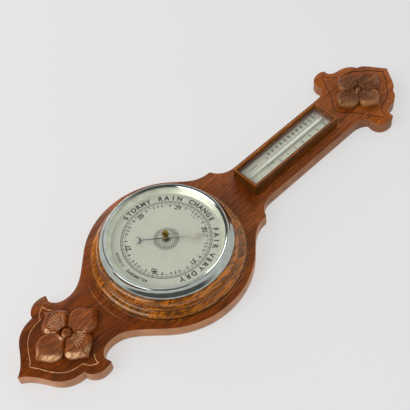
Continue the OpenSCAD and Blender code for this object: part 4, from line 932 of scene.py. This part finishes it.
scale_points, scale_faces = [], []
scale_out, top_degree = 30.63, 345.0
ten_fahrenheit, ten_centigrade = 9.8, 17.64


def print_degree(text, across, up, size, bold, upright=True):
    """Letters on the thermometer's scale, level or read from below upwards."""
    lay_letters(scale_points, scale_faces, text, size, bold, lambda x, y: at_dial(
        across + (x if upright else -y), up + (y if upright else x), scale_out))


for i in range(12):
    print_degree(str(120 - 10 * i), -14.6, top_degree - ten_fahrenheit * i, 6.2, 0.22)
for i in range(7):
    print_degree(str(50 - 10 * i), 9.6, top_degree + 2.0 - ten_centigrade * i, 5.0, 0.12)
print_degree("F", -9.7, 229.4, 6.0, 0.24)
print_degree("C", 3.6, 228.4, 6.0, 0.24)
print_degree("FAHRENHEIT", -11.6, 199, 3.6, 0.05, upright=False)
piece("degree_figures", scale_points, scale_faces, ink, "case", smooth=None)

rungs, given = new_tree("Marks up a scale", ("Count", "Int"), ("First Place", "Vector"),
                        ("Step", "Vector"), ("Size", "Vector"))
spots = add(rungs, "GeometryNodeMeshLine", {"Count": given["Count"],
            "Start Location": given["First Place"], "Offset": given["Step"]})
mark = add(rungs, "GeometryNodeMeshCube", {"Size": given["Size"]})
end_tree(rungs, given, add(rungs, "GeometryNodeInstanceOnPoints", {
    "Points": spots.outputs[0], "Instance": mark.outputs["Mesh"]}))
for name, count, across, step, wide, thick, fall in (
        ("fahrenheit_fine", 56, -6.6, ten_fahrenheit / 5, 2.0, 0.32, 107.8),
        ("fahrenheit_tens", 12, -7.4, ten_fahrenheit, 3.6, 0.5, 107.8),
        ("centigrade_fine", 35, 5.0, ten_centigrade / 5, 2.0, 0.32, 103.84),
        ("centigrade_tens", 7, 5.6, ten_centigrade, 3.2, 0.5, 103.84)):
    settle(run_tree(wire(name, [[(0, 0, 0)]]), rungs, {
        "Count": count, "First Place": at_dial(across, top_degree - fall, scale_out),
        "Step": (0, 0, step / 1000), "Size": (wide / 1000, 0.00006, thick / 1000),
        "Finish": ink}), "case", smooth=None)


# The barometer lies on a plain pale sheet, close behind its back. One soft lamp stands to the left,
# a wide one beyond the foot and one to the right, and the room is brighter above than below.

reach, behind_board = 6, 0.0015
sheet = bpy.data.meshes.new("pale sheet")
sheet.from_pydata([(x * reach, behind_board, z * reach)
                   for x, z in ((-1, -1), (1, -1), (1, 1), (-1, 1))], [], [(0, 1, 2, 3)])
backdrop = in_scene("pale_sheet", sheet)
paper, tree, surface = new_finish("pale paper")
tree.nodes.remove(surface)
matt = add(tree, "ShaderNodeBsdfDiffuse", {"Color": rgb(228, 228, 228)})
plain = add(tree, "ShaderNodeEmission", {"Color": rgb(231, 230, 229), "Strength": 1.0})
gone = add(tree, "ShaderNodeBsdfTransparent")
ray = add(tree, "ShaderNodeLightPath").outputs
seen = reckon(tree, "MAXIMUM", ray["Is Camera Ray"], ray["Is Glossy Ray"])
front = add(tree, "ShaderNodeMixShader", {0: reckon(tree, "MULTIPLY", seen, 0.72),
                                          1: matt.outputs[0], 2: plain.outputs[0]})
behind = add(tree, "ShaderNodeNewGeometry").outputs["Backfacing"]
unseen = reckon(tree, "MAXIMUM", behind, ray["Is Shadow Ray"])
both = add(tree, "ShaderNodeMixShader", {0: unseen, 1: front.outputs[0], 2: gone.outputs[0]})
feed(tree, tree.nodes["Material Output"], {"Surface": both.outputs[0]})
sheet.materials.append(paper)

world = bpy.data.worlds.new("studio")
bpy.context.scene.world = world
world.use_nodes = True
tree = world.node_tree
upward = add(tree, "ShaderNodeSeparateXYZ", {0: on_object(tree)}).outputs["Z"]
brightness = ramp(tree, stretch(tree, upward, -1.0, 1.0), [
    (0.2, 0.12), (0.52, 0.12), (0.63, 0.42), (0.76, 0.95)])
feed(tree, tree.nodes["Background"], {"Color": brightness, "Strength": 1.0})


def lamp(name, place, target, size, watts):
    """A large soft lamp that points at a spot on the object."""
    light = bpy.data.lights.new(name, "AREA")
    light.shape, light.energy = "RECTANGLE", watts
    light.size, light.size_y = size
    made = in_scene(name, light)
    made.location = place
    made.rotation_euler = (Vector(target) - Vector(place)).to_track_quat("-Z", "Y").to_euler()


lamp("left", (-1.9, -0.9, -0.1), (0, 0, -0.3), (0.8, 0.8), 9)
lamp("below", (-0.6, -1.9, -2.95), (0, 0, -0.4), (2.8, 2.8), 95)
lamp("right", (1.3, -0.9, -0.45), (0, 0, -0.4), (0.3, 0.6), 2)


# The camera stands to the lower right of the barometer and is rolled, as in the photograph. Its
# place was worked out from the circles of the dial and the straight edges of the box.
eye = bpy.data.cameras.new("camera")
eye.lens, eye.sensor_width, eye.shift_x, eye.shift_y = 74.14, 36, 0.0006, 0.0047
camera = in_scene("camera", eye)
camera.matrix_world = Matrix(((0.69190, -0.55520, 0.46155, 0.60129),
                              (0.07534, -0.58026, -0.81094, -1.11167),
                              (0.71806, 0.59586, -0.35965, -0.83782), (0, 0, 0, 1)))
bpy.context.scene.camera = camera
bpy.context.scene.view_settings.view_transform = "Standard"
